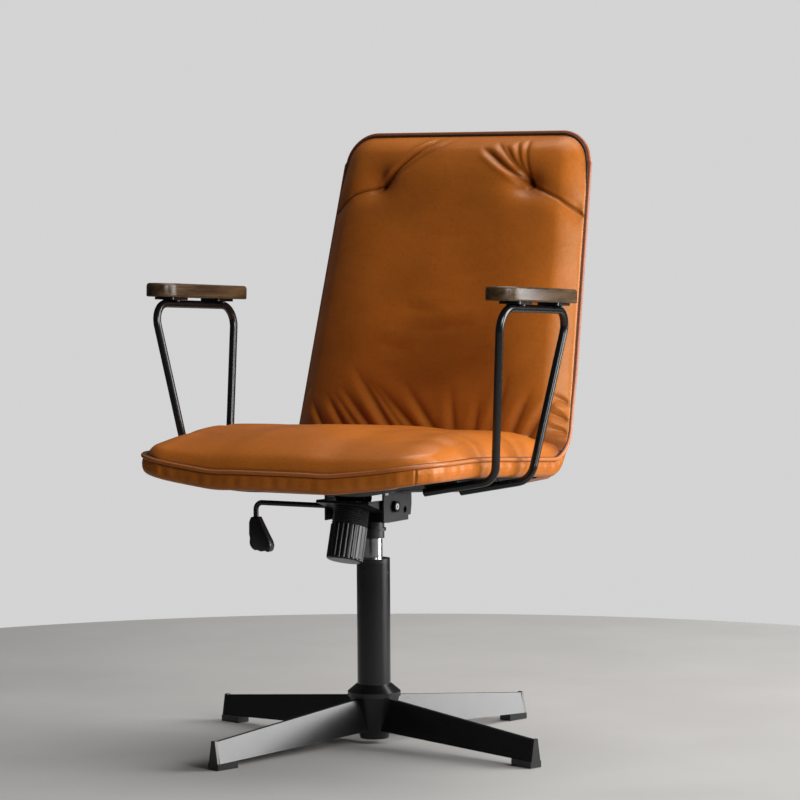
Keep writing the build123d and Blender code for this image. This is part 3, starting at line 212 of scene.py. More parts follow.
class Shell:
    """The bent sheet that the leather follows, worked out from the shell's sizes."""

    def __init__(self, sizes):
        self.s = sizes
        self.lean = sizes.back_lean - sizes.seat_pitch
        self.turn = pi / 2 - self.lean
        self.tangent = sizes.bend * tan(self.turn / 2)
        self.end_reach = sizes.bend * sin(self.turn / 2)
        drop = sizes.back_z - sizes.seat_height
        self.set_y = sizes.back_y * cos(sizes.seat_pitch) - drop * sin(sizes.seat_pitch)
        self.set_z = sizes.back_y * sin(sizes.seat_pitch) + drop * cos(sizes.seat_pitch)

    def level(self, x):
        """Height of the seat's edge above its underside."""
        over = np.abs(x) - self.s.flat
        knee = self.s.knee
        rise = np.where(over > knee, over, np.where(over < -knee, 0.0, (over + knee) ** 2 / (4 * knee)))
        return self.s.boxing + rise * tan(self.s.wing)

    def seat_level(self, x, depth):
        """Height of the seat's edge where its front corners hang a little."""
        hang = fade(np.abs(x), DROOP_SIDE_WIDTH, DROOP_SIDE) * fade(-depth, DROOP_FRONT_WIDTH, DROOP_FRONT)
        return self.level(x) - self.s.droop * hang

    def bend_start(self, x):
        """Depth at which the seat turns up into the back."""
        return self.set_y + (self.level(x) - self.set_z) * tan(self.lean) - self.tangent

    def bend_end(self, x):
        """Rise along the back at which the bend ends."""
        return (self.level(x) - self.set_z) / cos(self.lean) + self.tangent

    def front(self, x):
        """Depth of the front edge."""
        return -self.s.seat_front + self.s.seat_bow * (x / self.s.seat_half) ** 2

    def seat_half_at(self, depth):
        """Half the seat's width at a depth."""
        corner = self.front(self.s.seat_half)
        change = self.s.seat_rear_half - self.s.seat_half
        return self.s.seat_half + change * (depth - corner) / self.s.seat_depth

    def back_half_at(self, rise):
        """Half the back's width at a rise along it."""
        return self.s.back_half + (self.s.back_top_half - self.s.back_half) * rise / self.s.back_rise

    def seat_world(self, x, depth, up):
        """Points of the seat's own frame, in the chair's frame."""
        pitch = self.s.seat_pitch
        y = depth * cos(pitch) + up * sin(pitch)
        z = self.s.seat_height - depth * sin(pitch) + up * cos(pitch)
        return np.stack([x, y, z], axis=-1)

    def back_world(self, x, rise, ahead):
        """Points of the back's own frame, in the chair's frame."""
        lean = self.s.back_lean
        y = self.s.back_y + rise * sin(lean) - ahead * cos(lean)
        z = self.s.back_z + rise * cos(lean) + ahead * sin(lean)
        return np.stack([x, y, z], axis=-1)

    def arc(self, past):
        """Rise of the bend at a distance past its start."""
        past = np.clip(past, 0.0, self.s.bend)
        return self.s.bend - np.sqrt(self.s.bend ** 2 - past ** 2)


def corner_map(u, half, along, radius):
    """Places across a half width, and their distances to the side and the end.

    The points of the corner's square are moved on to its quarter disc.
    """
    across = half - np.abs(u * half)
    a = np.clip(1.0 - across / radius, 0.0, 1.0)
    b = np.clip(1.0 - along / radius, 0.0, 1.0)
    inside = (a > 0.0) & (b > 0.0)
    across = np.where(inside, radius * (1.0 - a * np.sqrt(1.0 - b * b / 2)), across)
    along = np.where(inside, radius * (1.0 - b * np.sqrt(1.0 - a * a / 2)), along)
    return np.sign(u) * (half - across), across, along


def edge_distance(across, along, radius):
    """Distance to an outline with a round corner, from the distances to its two straight edges."""
    a = radius - across
    b = radius - along
    corner = (a > 0.0) & (b > 0.0)
    return np.where(corner, radius - np.hypot(a, b), np.minimum(across, along))


def line_distance(x, s, points):
    """Signed distance to a line of points, and the nearest place on it, from nothing to one."""
    best = np.full_like(x, 1.0)
    place = np.zeros_like(x)
    runs = [np.hypot(b[0] - a[0], b[1] - a[1]) for a, b in zip(points, points[1:])]
    before = 0.0
    for a, b, run in zip(points, points[1:], runs):
        along = ((x - a[0]) * (b[0] - a[0]) + (s - a[1]) * (b[1] - a[1])) / run ** 2
        along = np.clip(along, 0.0, 1.0)
        far = np.hypot(x - a[0] - along * (b[0] - a[0]), s - a[1] - along * (b[1] - a[1]))
        near = far < np.abs(best)
        turned = (b[0] - a[0]) * (s - a[1]) - (b[1] - a[1]) * (x - a[0])
        best = np.where(near, np.where(turned < 0.0, -far, far), best)
        place = np.where(near, (before + along * run) / sum(runs), place)
        before += run
    return best, place


# How much of the spacing of a gathered grid stays even.
EVEN_SHARE = 0.4


def gathered(place):
    """Places from minus one to one, drawn towards the two ends."""
    return EVEN_SHARE * place + (1 - EVEN_SHARE) * np.sin(place * pi / 2)


# A fold's section: depth of its valley, share and width of the crease in it, height and place of its ridge.
FOLD_VALLEY = 0.62
FOLD_CREASE = 0.5
FOLD_CREASE_WIDTH = 0.4
FOLD_RIDGE = 0.30
FOLD_RIDGE_PLACE = 1.7


def fold_profile(far):
    """The section of a fold: a sharp valley with a soft ridge on one side of it."""
    valley = bell(far, 1.0) + FOLD_CREASE * bell(far, FOLD_CREASE_WIDTH)
    return FOLD_RIDGE * bell(far - FOLD_RIDGE_PLACE, 1.0) - FOLD_VALLEY * valley


# Waves of the soft noise, and how their turn, length and start change with the seed and from wave to wave.
WAVES = 5
WAVE_TURN = (1.7, 2.4)
WAVE_LENGTH = (0.7, 0.23)
WAVE_START = (3.1, 1.3)


def soft_noise(x, y, height, size, seed):
    """Gentle repeatable waves of a height and of about a size, from a few sines."""
    total = np.zeros_like(x)
    for number in range(WAVES):
        turn = seed * WAVE_TURN[0] + number * WAVE_TURN[1]
        wave = 2 * pi / (size * (WAVE_LENGTH[0] + WAVE_LENGTH[1] * number))
        start = seed * WAVE_START[0] + number * WAVE_START[1]
        total += np.sin((x * cos(turn) + y * sin(turn)) * wave + start)
    return height * total / WAVES


def deselect():
    """Leave object mode with nothing selected."""
    if bpy.context.object and bpy.context.object.mode != "OBJECT":
        bpy.ops.object.mode_set(mode="OBJECT")
    bpy.ops.object.select_all(action="DESELECT")


def edit_all():
    """Edit the active piece, with all of its mesh selected."""
    bpy.ops.object.mode_set(mode="EDIT")
    bpy.ops.mesh.select_all(action="SELECT")


def turn_outward():
    """Point the active piece's faces outwards."""
    edit_all()
    bpy.ops.mesh.normals_make_consistent(inside=False)
    bpy.ops.object.mode_set(mode="OBJECT")


def thicken(piece, thickness, offset):
    """Give the active piece a wall."""
    wall = piece.modifiers.new("Wall", "SOLIDIFY")
    wall.thickness = thickness
    wall.offset = offset
    bpy.ops.object.modifier_apply(modifier=wall.name)


def place_new(context, name, data):
    """A new piece with given data, active and the only one selected."""
    deselect()
    piece = bpy.data.objects.new(name, data)
    context.collection.objects.link(piece)
    context.view_layer.objects.active = piece
    piece.select_set(True)
    return piece


def flat_grid(name, columns, rows):
    """A flat grid from minus one to one both ways."""
    deselect()
    bpy.ops.mesh.primitive_grid_add(x_subdivisions=columns, y_subdivisions=rows, size=2.0)
    grid = bpy.context.object
    grid.name = name
    return grid


def places_of(mesh):
    """The places of a mesh's vertices, one row for each."""
    places = np.empty(len(mesh.vertices) * 3)
    mesh.vertices.foreach_get("co", places)
    return places.reshape(-1, 3)


def pad_from_grid(name, columns, rows, face, underside, painted_shade=None):
    """A closed pad: a grid shaped by face(u, v), joined round its edge to a copy shaped by underside(u, v).

    Where a painted shade function is given, the face's vertices keep its values as the crease attribute, the
    painted shade that the leather reads.
    """
    pad = flat_grid(name, columns, rows)
    half = len(pad.data.vertices)
    edit_all()
    bpy.ops.mesh.duplicate()
    bpy.ops.mesh.flip_normals()
    bpy.ops.object.mode_set(mode="OBJECT")
    places = places_of(pad.data)
    u = places[:half, 0].copy()
    v = places[:half, 1].copy()
    places[:half] = face(u, v)
    on_edge = np.maximum(np.abs(u), np.abs(v)) > 1.0 - MERGE
    places[half:] = np.where(on_edge[:, None], places[:half], underside(u, v))
    pad.data.vertices.foreach_set("co", places.ravel())
    # Painted shade: the face's vertices keep how dark the leather is painted in its creases.
    if painted_shade is not None:
        shades = np.zeros((len(places), 4))
        shades[:half] = painted_shade(u, v)[:, None]
        crease = pad.data.color_attributes.new("crease", "FLOAT_COLOR", "POINT")
        crease.data.foreach_set("color", shades.ravel())
    edit_all()
    bpy.ops.mesh.remove_doubles(threshold=MERGE)
    turn_outward()
    bpy.ops.object.shade_smooth()
    return pad


def strip_from_grid(name, columns, rows, shape):
    """An open strip shaped by shape(u, v)."""
    strip = flat_grid(name, columns, rows)
    places = places_of(strip.data)
    places[:] = shape(places[:, 0].copy(), places[:, 1].copy())
    strip.data.vertices.foreach_set("co", places.ravel())
    return strip


# Columns and rows of the seat's grid.
SEAT_GRID = (150, 150)
# Width of the round edge beside the seat's welt.
SEAT_EDGE = 0.014
# Depth of the roll at the rear, the height that is left there, and the length over which it tucks under.
REAR_ROLL = 0.10
REAR_SHARE = 0.45
REAR_TUCK = 0.01
# Depth of the hollow under the cushion, and the width of its slope.
SEAT_HOLLOW = 0.004
HOLLOW_SLOPE = 0.02
# Height, size and seed of the soft waves, and how far from the edge they are full.
SEAT_WAVES = (0.0012, 0.16, 2.0)
SEAT_WAVE_EDGE = 0.05
# Dents in the seat's two sides, each with its place along the depth, its lean and its depth.
DENTS = ((-0.108, 0.35, 0.0022), (0.012, 0.25, 0.0028), (-0.190, 0.5, 0.0012))
# The dents' place across, their width, where they start, the run over which they deepen, and their edge.
DENT_X = 0.20
DENT_WIDTH = 0.014
DENT_START = 0.13
DENT_RUN = 0.06
DENT_EDGE = 0.02
# Painted shade in the crease before the back: how dark it makes the leather, and its width.
SEAT_CREASE_SHADE = 0.85
SEAT_CREASE_SHADE_WIDTH = 0.022


class CHAIR_OT_seat_cushion(bpy.types.Operator):
    """Make the seat's crowned leather cushion"""

    bl_idname = "chair.seat_cushion"
    bl_label = "Seat cushion"

    def execute(self, context):
        shell = Shell(context.scene.chair_shell)
        padding = context.scene.chair_padding
        sizes = shell.s

        def plan(u, v):
            """Places on the seat, and their distances to the side, front, edge and rear end."""
            front = shell.front(u * sizes.seat_half)
            end = shell.bend_start(u * sizes.seat_half) + shell.end_reach
            depth = front + (v + 1) / 2 * (end - front)
            x, across, along = corner_map(u, shell.seat_half_at(depth), depth - front, sizes.seat_corner)
            edge = edge_distance(across, along, sizes.seat_corner)
            return x, front + along, across, along, edge, end - front - along

        def level(x, depth):
            return shell.seat_level(x, depth) + shell.arc(depth - shell.bend_start(x))

        def crown(x, across, along, edge):
            sides = 1 - padding.seat_side_drop * (x / (across + np.abs(x))) ** 2
            rolls = rounded(along / padding.seat_front_roll) * rounded(across / padding.seat_side_roll)
            return padding.seat_crown * rolls * sides * rounded(edge / SEAT_EDGE)

        def face(u, v):
            x, depth, across, along, edge, rear = plan(u, v)
            full = REAR_SHARE + (1 - REAR_SHARE) * rounded(rear / REAR_ROLL)
            height = crown(x, across, along, edge) * full
            height += soft_noise(x, depth, *SEAT_WAVES) * fade(edge, SEAT_WAVE_EDGE)
            for place, lean, deep in DENTS:
                line = depth - place - lean * (np.abs(x) - DENT_X)
                near = fade(np.abs(x), DENT_RUN, DENT_START) * fade(edge, DENT_EDGE)
                height -= deep * bell(line, DENT_WIDTH) * near
            return shell.seat_world(x, depth, level(x, depth) + height)

        def underside(u, v):
            x, depth, across, along, edge, rear = plan(u, v)
            lift = crown(x, across, along, edge) * REAR_SHARE * (1 - fade(rear, REAR_TUCK))
            sink = SEAT_HOLLOW * fade(np.minimum(edge, rear), HOLLOW_SLOPE)
            return shell.seat_world(x, depth, level(x, depth) + lift - sink)

        # Painted shade where the seat runs into the back.
        def painted_shade(u, v):
            rear = plan(u, v)[-1]
            return SEAT_CREASE_SHADE * bell(rear, SEAT_CREASE_SHADE_WIDTH)

        cushion = pad_from_grid("seat_cover", *SEAT_GRID, face, underside, painted_shade)
        cushion.data.materials.append(leather_material(context.scene.chair_colours))
        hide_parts("seat_cushion")
        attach(cushion, "seat")
        return {"FINISHED"}


# Sewn seams from each tuft to the side, as places across and along the back.
SEAMS = (
    ((-0.127, 0.354), (-0.178, 0.337), (-0.226, 0.304)),
    ((0.131, 0.354), (0.184, 0.331), (0.226, 0.300)),
)
# Pleats that fan out above the tufts, each with its places, depth and width.
PLEATS = (
    (((-0.125, 0.354), (-0.082, 0.393), (-0.036, 0.436)), 0.0075, 0.0052),
    (((-0.108, 0.360), (-0.060, 0.396), (-0.003, 0.434)), 0.0028, 0.0070),
    (((0.133, 0.354), (0.087, 0.382), (0.039, 0.416)), 0.0080, 0.0056),
    (((0.129, 0.361), (0.096, 0.392), (0.062, 0.426)), 0.0045, 0.0050),
    (((0.129, 0.361), (0.104, 0.390), (0.079, 0.420)), 0.0040, 0.0046),
    (((0.129, 0.361), (0.113, 0.392), (0.098, 0.428)), 0.0045, 0.0048),
    (((0.131, 0.363), (0.123, 0.396), (0.116, 0.432)), 0.0040, 0.0046),
)
# Slack folds across the middle, each with its two ends, depth and width.
SAGS = (
    (((-0.062, 0.153), (0.028, 0.143)), 0.0013, 0.011),
    (((-0.022, 0.112), (0.082, 0.129)), 0.0016, 0.012),
    (((-0.100, 0.096), (-0.020, 0.082)), 0.0011, 0.012),
    (((0.030, 0.200), (0.110, 0.214)), 0.0007, 0.012),
    (((-0.030, 0.262), (0.070, 0.270)), 0.0006, 0.010),
)
# Gathers at the foot of the back, each with its lower and upper end, depth and width.
GATHERS = (
    (((-0.128, -0.040), (-0.178, 0.020)), 0.0052, 0.0070),
    (((-0.103, -0.040), (-0.166, 0.024)), 0.0036, 0.0060),
    (((-0.080, -0.040), (-0.153, 0.032)), 0.0056, 0.0080),
    (((-0.043, -0.042), (-0.136, 0.068)), 0.0062, 0.0090),
    (((-0.022, -0.042), (-0.112, 0.052)), 0.0036, 0.0070),
    (((0.000, -0.042), (-0.095, 0.042)), 0.0054, 0.0085),
    (((0.032, -0.042), (-0.040, 0.043)), 0.0046, 0.0085),
    (((0.064, -0.042), (0.049, 0.037)), 0.0036, 0.0090),
    (((0.098, -0.042), (0.104, 0.020)), 0.0030, 0.0080),
    (((0.126, -0.042), (0.149, 0.061)), 0.0050, 0.0090),
    (((0.160, -0.042), (0.188, 0.040)), 0.0044, 0.0080),
    (((0.186, -0.042), (0.222, 0.033)), 0.0052, 0.0075),
    (((0.236, 0.010), (0.203, 0.030)), 0.0042, 0.0060),
    (((0.238, -0.014), (0.200, 0.001)), 0.0046, 0.0060),
    (((0.238, -0.031), (0.208, -0.025)), 0.0038, 0.0052),
    (((-0.170, -0.040), (-0.208, 0.012)), 0.0046, 0.0066),
    (((-0.236, 0.012), (-0.206, 0.036)), 0.0032, 0.0060),
)
# Columns and rows of the back's grid.
BACK_GRID = (240, 260)
# Distances from the edge over which the folds, and then all the sewing, come in.
FOLD_EDGE = 0.012
SEWN_EDGE = 0.008
# How steeply a tuft's hollow falls off.
TUFT_POWER = 1.3
# Depth, width and loss along its length of the soft hollow beside a seam.
SEAM_HOLLOW = 0.006
SEAM_HOLLOW_WIDTH = 0.016
SEAM_HOLLOW_LOSS = 0.6
# How much shallower a pleat is at its end, and the shares of a pleat and of a gather before they fade.
PLEAT_LOSS = 0.45
PLEAT_KEPT = 0.75
GATHER_KEPT = 0.25
# Height, size and seed of the soft waves.
BACK_WAVES = (0.0011, 0.11, 1.0)
# Height that the padding loses at its foot, the roll there, the tuck under it and the hollow behind it.
FOOT_LOSS = 0.35
FOOT_ROLL = 0.07
FOOT_TUCK = 0.01
BACK_HOLLOW = 0.0005
# Widths over which a side's bulge comes in and goes out, and where below the top it starts and its run there.
BULGE_START = 0.0015
BULGE_WIDTH = 0.016
BULGE_TOP = 0.015
BULGE_RUN = 0.085
# Painted shade: how dark and how wide the shade is in the foot's crease, where the back meets the seat, and
# along the seams.
FOOT_SHADE = 0.75
FOOT_SHADE_WIDTH = 0.030
SEAM_SHADE = 0.55
SEAM_SHADE_WIDTH = 0.0024
# Folds whose valleys get painted shade, with how dark they get for their depth, the share before they fade
# and their narrowing.
SHADED_FOLDS = ((PLEATS, 80, 0.55, 0.55), (GATHERS, 90, GATHER_KEPT, 0.6))
DARKEST = 0.9


def kept_share(place, kept):
    """One along the kept share of a fold, then a fall to nothing at its end."""
    return 1 - fade(place, 1 - kept, kept)


class CHAIR_OT_back_cushion(bpy.types.Operator):
    """Make the back's tufted leather cushion"""

    bl_idname = "chair.back_cushion"
    bl_label = "Back cushion"

    def execute(self, context):
        shell = Shell(context.scene.chair_shell)
        padding = context.scene.chair_padding
        sizes = shell.s

        def plan(u, v):
            """Places on the back, distances to the side, top and edge, and height over the foot."""
            u = gathered(u)
            start = shell.bend_end(u * sizes.back_half) - shell.end_reach
            rise = start + (gathered(v) + 1) / 2 * (sizes.back_rise - start)
            half = shell.back_half_at(rise)
            x, across, along = corner_map(u, half, sizes.back_rise - rise, sizes.back_corner)
            edge = edge_distance(across, along, sizes.back_corner)
            return x, sizes.back_rise - along, across, along, edge, sizes.back_rise - along - start

        def sewn(x, rise, edge):
            """How the tufts, seams, pleats, gathers and sags change the padding."""
            inner = fade(edge, FOLD_EDGE)
            change = soft_noise(x, rise, *BACK_WAVES) * inner
            for side in (-1, 1):
                away = np.hypot(x - side * padding.tuft_x, rise - padding.tuft_rise)
                change -= padding.tuft_depth / (1 + (away / padding.tuft_width) ** 2) ** TUFT_POWER
            for seam in SEAMS:
                far, place = line_distance(x, rise, seam)
                change -= padding.seam_depth * bell(far, padding.seam_width)
                change -= SEAM_HOLLOW * (1 - SEAM_HOLLOW_LOSS * place) * bell(far, SEAM_HOLLOW_WIDTH) * inner
            for pleat, deep, wide in PLEATS:
                far, place = line_distance(x, rise, pleat)
                deep = deep * (1 - PLEAT_LOSS * place) * kept_share(place, PLEAT_KEPT)
                change += deep * fold_profile(far / wide)
            for gather, deep, wide in GATHERS:
                far, place = line_distance(x, rise, gather)
                change += deep * kept_share(place, GATHER_KEPT) * fold_profile(far / wide) * inner
            for sag, deep, wide in SAGS:
                far, place = line_distance(x, rise, sag)
                change += deep * np.sin(pi * place) * fold_profile(far / wide)
            return change * fade(edge, SEWN_EDGE)

        def crown(across, along, edge):
            roll = rounded(across / padding.back_roll) * rounded(along / padding.back_roll)
            return padding.back_crown * roll * rounded(edge / padding.back_edge)

        def reach(x, rise):
            return shell.arc(shell.bend_end(x) - rise)

        def face(u, v):
            x, rise, across, along, edge, low = plan(u, v)
            full = 1 - FOOT_LOSS * (1 - rounded(low / FOOT_ROLL))
            height = np.maximum(crown(across, along, edge) * full + sewn(x, rise, edge), 0.0)
            bulge = (1 - np.exp(-across / BULGE_START)) * bell(across, BULGE_WIDTH)
            bulge = padding.side_bulge * bulge * fade(along, BULGE_RUN, BULGE_TOP)
            return shell.back_world(x + np.sign(x) * bulge, rise, reach(x, rise) + height)

        def underside(u, v):
            x, rise, across, along, edge, low = plan(u, v)
            lift = crown(across, along, edge) * (1 - FOOT_LOSS) + sewn(x, rise, edge)
            lift = np.maximum(lift * (1 - fade(low, FOOT_TUCK)), 0.0)
            sink = BACK_HOLLOW * fade(np.minimum(edge, low), HOLLOW_SLOPE)
            return shell.back_world(x, rise, reach(x, rise) + lift - sink)

        # Painted shade at the foot of the back, along the seams and in the pleats and gathers.
        def painted_shade(u, v):
            x, rise, *_, low = plan(u, v)
            dark = FOOT_SHADE * bell(low, FOOT_SHADE_WIDTH)
            for seam in SEAMS:
                far, place = line_distance(x, rise, seam)
                dark = np.maximum(dark, SEAM_SHADE * bell(far, SEAM_SHADE_WIDTH))
            for folds, shade, kept, narrow in SHADED_FOLDS:
                for fold, deep, wide in folds:
                    far, place = line_distance(x, rise, fold)
                    deep = shade * deep * kept_share(place, kept)
                    dark = np.maximum(dark, deep * bell(far, narrow * wide))
            return np.clip(dark, 0.0, DARKEST)

        cushion = pad_from_grid("back_cover", *BACK_GRID, face, underside, painted_shade)
        cushion.data.materials.append(leather_material(context.scene.chair_colours))
        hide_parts("back_cushion")
        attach(cushion, "seat")
        return {"FINISHED"}


# Rows of the edge along the front and the top, round a corner, along a side and round the bend.
FRONT_ROWS = 24
CORNER_ROWS = 16
SIDE_ROWS = 40
BEND_ROWS = 24


def rim(shell):
    """Half of the edge, from the front's middle round the left side to the top's middle.

    Gives places, outward directions and inward normals, each in the chair's frame, and the part that each
    place is on: seat, bend or back.
    """
    sizes = shell.s
    rows = []

    def seat_row(x, depth, out_x, out_depth):
        place = shell.seat_world(x, depth, shell.seat_level(x, depth))
        out = shell.seat_world(out_x, out_depth, 0.0) - shell.seat_world(0.0, 0.0, 0.0)
        normal = Vector((0, sin(sizes.seat_pitch), cos(sizes.seat_pitch)))
        rows.append((Vector(place), Vector(out), normal, "seat"))

    def back_row(x, rise, out):
        normal = Vector((0, -cos(sizes.back_lean), sin(sizes.back_lean)))
        rows.append((Vector(shell.back_world(x, rise, 0.0)), out, normal, "back"))

    radius = sizes.seat_corner
    corner_x = sizes.seat_half - radius
    for step in range(FRONT_ROWS):
        x = corner_x * step / FRONT_ROWS
        seat_row(x, shell.front(x), 0.0, -1.0)
    corner_depth = shell.front(corner_x) + radius
    for step in range(CORNER_ROWS + 1):
        turn = radians(-90 + 90 * step / CORNER_ROWS)
        seat_row(corner_x + radius * cos(turn), corner_depth + radius * sin(turn), cos(turn), sin(turn))
    end = float(shell.bend_start(sizes.seat_rear_half))
    for step in range(1, SIDE_ROWS + 1):
        depth = corner_depth + (end - corner_depth) * step / SIDE_ROWS
        seat_row(shell.seat_half_at(depth), depth, 1.0, 0.0)
    side_x = shell.seat_half_at(end)
    origin = Vector(shell.seat_world(side_x, end, shell.level(side_x) + sizes.bend))
    rise = float(shell.bend_end(side_x))
    back_x = shell.back_half_at(rise)
    for step in range(1, BEND_ROWS + 1):
        turn = sizes.seat_pitch - shell.turn * step / BEND_ROWS
        down = Vector((0, -sin(turn), -cos(turn)))
        place = origin + down * sizes.bend
        place.x = side_x + (back_x - side_x) * step / BEND_ROWS
        rows.append((place, Vector((1, 0, 0)), -down, "bend"))
    radius = sizes.back_corner
    corner_rise = sizes.back_rise - radius
    for step in range(1, SIDE_ROWS + 1):
        high = rise + (corner_rise - rise) * step / SIDE_ROWS
        back_row(shell.back_half_at(high), high, Vector((1, 0, 0)))
    up = Vector((0, sin(sizes.back_lean), cos(sizes.back_lean)))
    corner_x = sizes.back_top_half - radius
    for step in range(1, CORNER_ROWS + 1):
        turn = radians(90 * step / CORNER_ROWS)
        out = Vector((cos(turn), 0, 0)) + up * sin(turn)
        back_row(corner_x + radius * cos(turn), corner_rise + radius * sin(turn), out)
    for step in range(1, FRONT_ROWS + 1):
        back_row(corner_x * (1 - step / FRONT_ROWS), sizes.back_rise, up.copy())
    return rows


def mirrored(vector):
    """The same place on the other side of the chair."""
    return Vector((-vector.x, vector.y, vector.z))


# Width of the round edge of the rear cover, which the band's ends turn in under.
REAR_EDGE = 0.010
LEATHER_WALL = 0.0014
# The band's section from the welt to under the seat: how far outwards, and what share of its height down.
BAND_SECTION = (
    (-0.002, 0.000), (0.0015, 0.06), (0.0030, 0.20), (0.0036, 0.42), (0.0030, 0.66), (0.0012, 0.85),
    (-0.0020, 0.96), (-0.0070, 1.0), (-0.018, 0.99), (-0.031, 0.97), (-0.031, 0.85),
)
# Grid cells for each row of the edge and for each step of the section.
BAND_CELLS = (5, 4)
# Height of the band's puckers, and the two rates of their waves along the rows.
PUCKER = 0.0006
PUCKER_WAVES = (1.9, 0.37)
# The band's two sewn joins: rows from the middle, depth, width, and share and width of the swell beside them.
JOIN_ROW = 31.5
JOIN_DEPTH = 0.0034
JOIN_WIDTH = 0.22
JOIN_SWELL = 0.35
JOIN_SWELL_WIDTH = 1.1
# How far the band's ends sit under the rear cover, and the share of their height that they lose there.
END_INSET = 0.0006
END_SUNK = 0.14


class CHAIR_OT_boxing(bpy.types.Operator):
    """Make the leather band round the seat's edge"""

    bl_idname = "chair.boxing"
    bl_label = "Boxing band"

    def execute(self, context):
        shell = Shell(context.scene.chair_shell)
        sizes = shell.s
        half = [row for row in rim(shell) if row[3] != "back"]
        rows = [(mirrored(p), mirrored(o), mirrored(n), part) for p, o, n, part in reversed(half)] + half[1:]
        bends = sum(row[3] == "bend" for row in half)
        last = len(rows) - 1
        number = np.arange(len(rows))
        past = smooth_step(np.maximum(bends - number, number - (last - bends)) / bends)
        thick = sizes.boxing * (1 - past) + sizes.back_shell * past
        steps = np.arange(len(BAND_SECTION))
        outward, downward = np.array(BAND_SECTION).T

        def shape(u, v):
            place = (u + 1) / 2 * last
            down = (v + 1) / 2 * steps[-1]

            def follow(column):
                values = np.array([row[column] for row in rows])
                return np.stack([np.interp(place, number, values[:, axis]) for axis in range(3)], axis=-1)

            drop = np.interp(down, steps, downward)
            belly = np.sin(pi * np.clip(drop, 0, 1))
            pucker = PUCKER * np.sin(place * PUCKER_WAVES[0]) * np.sin(place * PUCKER_WAVES[1]) * belly
            join = np.zeros_like(place)
            for side in (-1, 1):
                far = place - last / 2 - side * JOIN_ROW
                join += bell(far, JOIN_WIDTH) - JOIN_SWELL * bell(far, JOIN_SWELL_WIDTH)
            grow = np.interp(down, steps, outward) + pucker - JOIN_DEPTH * join * np.sqrt(np.abs(belly))
            near = np.interp(place, number, past)
            turned = -REAR_EDGE * (1 - np.sqrt(1 - np.clip(drop, 0, 1) ** 2)) - END_INSET
            grow = grow * (1 - near) + turned * near
            sunk = np.interp(place, number, thick) * drop * (1 - END_SUNK * near)
            return follow(0) + follow(1) * grow[:, None] - follow(2) * sunk[:, None]

        band = strip_from_grid("boxing_band", BAND_CELLS[0] * last, BAND_CELLS[1] * int(steps[-1]), shape)
        turn_outward()
        thicken(band, LEATHER_WALL, -1.0)
        bpy.ops.object.shade_smooth()
        band.data.materials.append(leather_material(context.scene.chair_colours))
        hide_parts("seat_boxing")
        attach(band, "seat")
        return {"FINISHED"}


CLOTH_GRID = (90, 90)
# Half the width that sags, the width of its slope, and the depths between which it hangs.
SAG_HALF = 0.09
SAG_SLOPE = 0.06
SAG_SPANS = ((-0.285, -0.095), (0.088, 0.185))
CLOTH_SMOOTH = radians(40)


class CHAIR_OT_dust_cover(bpy.types.Operator):
    """Make the black cloth under the seat, which sags before and behind the plate"""

    bl_idname = "chair.dust_cover"
    bl_label = "Dust cover"

    def execute(self, context):
        shell = Shell(context.scene.chair_shell)
        padding = context.scene.chair_padding
        sizes = shell.s
        inset = padding.cloth_inset

        def shape(u, v):
            front = shell.front(u * sizes.seat_half) + inset
            end = shell.bend_start(u * sizes.seat_rear_half) - padding.cloth_end
            depth = front + (v + 1) / 2 * (end - front)
            half = shell.seat_half_at(depth) - inset
            x, across, along = corner_map(u, half, depth - front, sizes.seat_corner - inset)
            depth = front + along
            spans = (np.clip((depth - low) / (high - low), 0.0, 1.0) for low, high in SAG_SPANS)
            hang = sum(np.sin(pi * span) for span in spans)
            sag = padding.cloth_sag * (1 - fade(np.abs(x), SAG_SLOPE, SAG_HALF)) * hang
            up = shell.seat_level(x, depth) - sizes.boxing + padding.cloth_rise - sag
            return shell.seat_world(x, depth, up)

        cloth = strip_from_grid("underside_cloth", *CLOTH_GRID, shape)
        spread = np.ptp(places_of(cloth.data), axis=0)
        flat = (float(spread[0]), float(spread[1]) / cos(sizes.seat_pitch))
        thicken(cloth, padding.cloth_thickness, 1.0)
        bpy.ops.object.shade_smooth_by_angle(angle=CLOTH_SMOOTH)
        cloth.data.materials.append(bpy.data.materials[CLOTH_NAME])
        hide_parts("dust_cover")
        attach(cloth, "seat")
        return {"FINISHED"}


REAR_GRID = (100, 130)
# How far the rear cover runs on under the seat.
REAR_TAIL = 0.030
# Room over the board's corners, the lengths over which it comes and goes, and its share of the bend.
REAR_ROOM = 0.0022
ROOM_START = 0.025
ROOM_END = 0.03
ROOM_SHARE = 0.6
# How much thinner than the band the cover is where they meet.
REAR_STEP = 0.0003
# Swell of the cover and the width of its slope, its waves' height, size and seed, and the width of its edge.
REAR_SWELL = 0.0012
SWELL_SLOPE = 0.06
REAR_WAVES = (0.0006, 0.18, 4.0)
SWELL_EDGE = 0.02
# Part of the grid at the tail, and width at the edge, over which the cover gets its full wall.
WALL_TAIL = 0.02
WALL_EDGE = 0.004


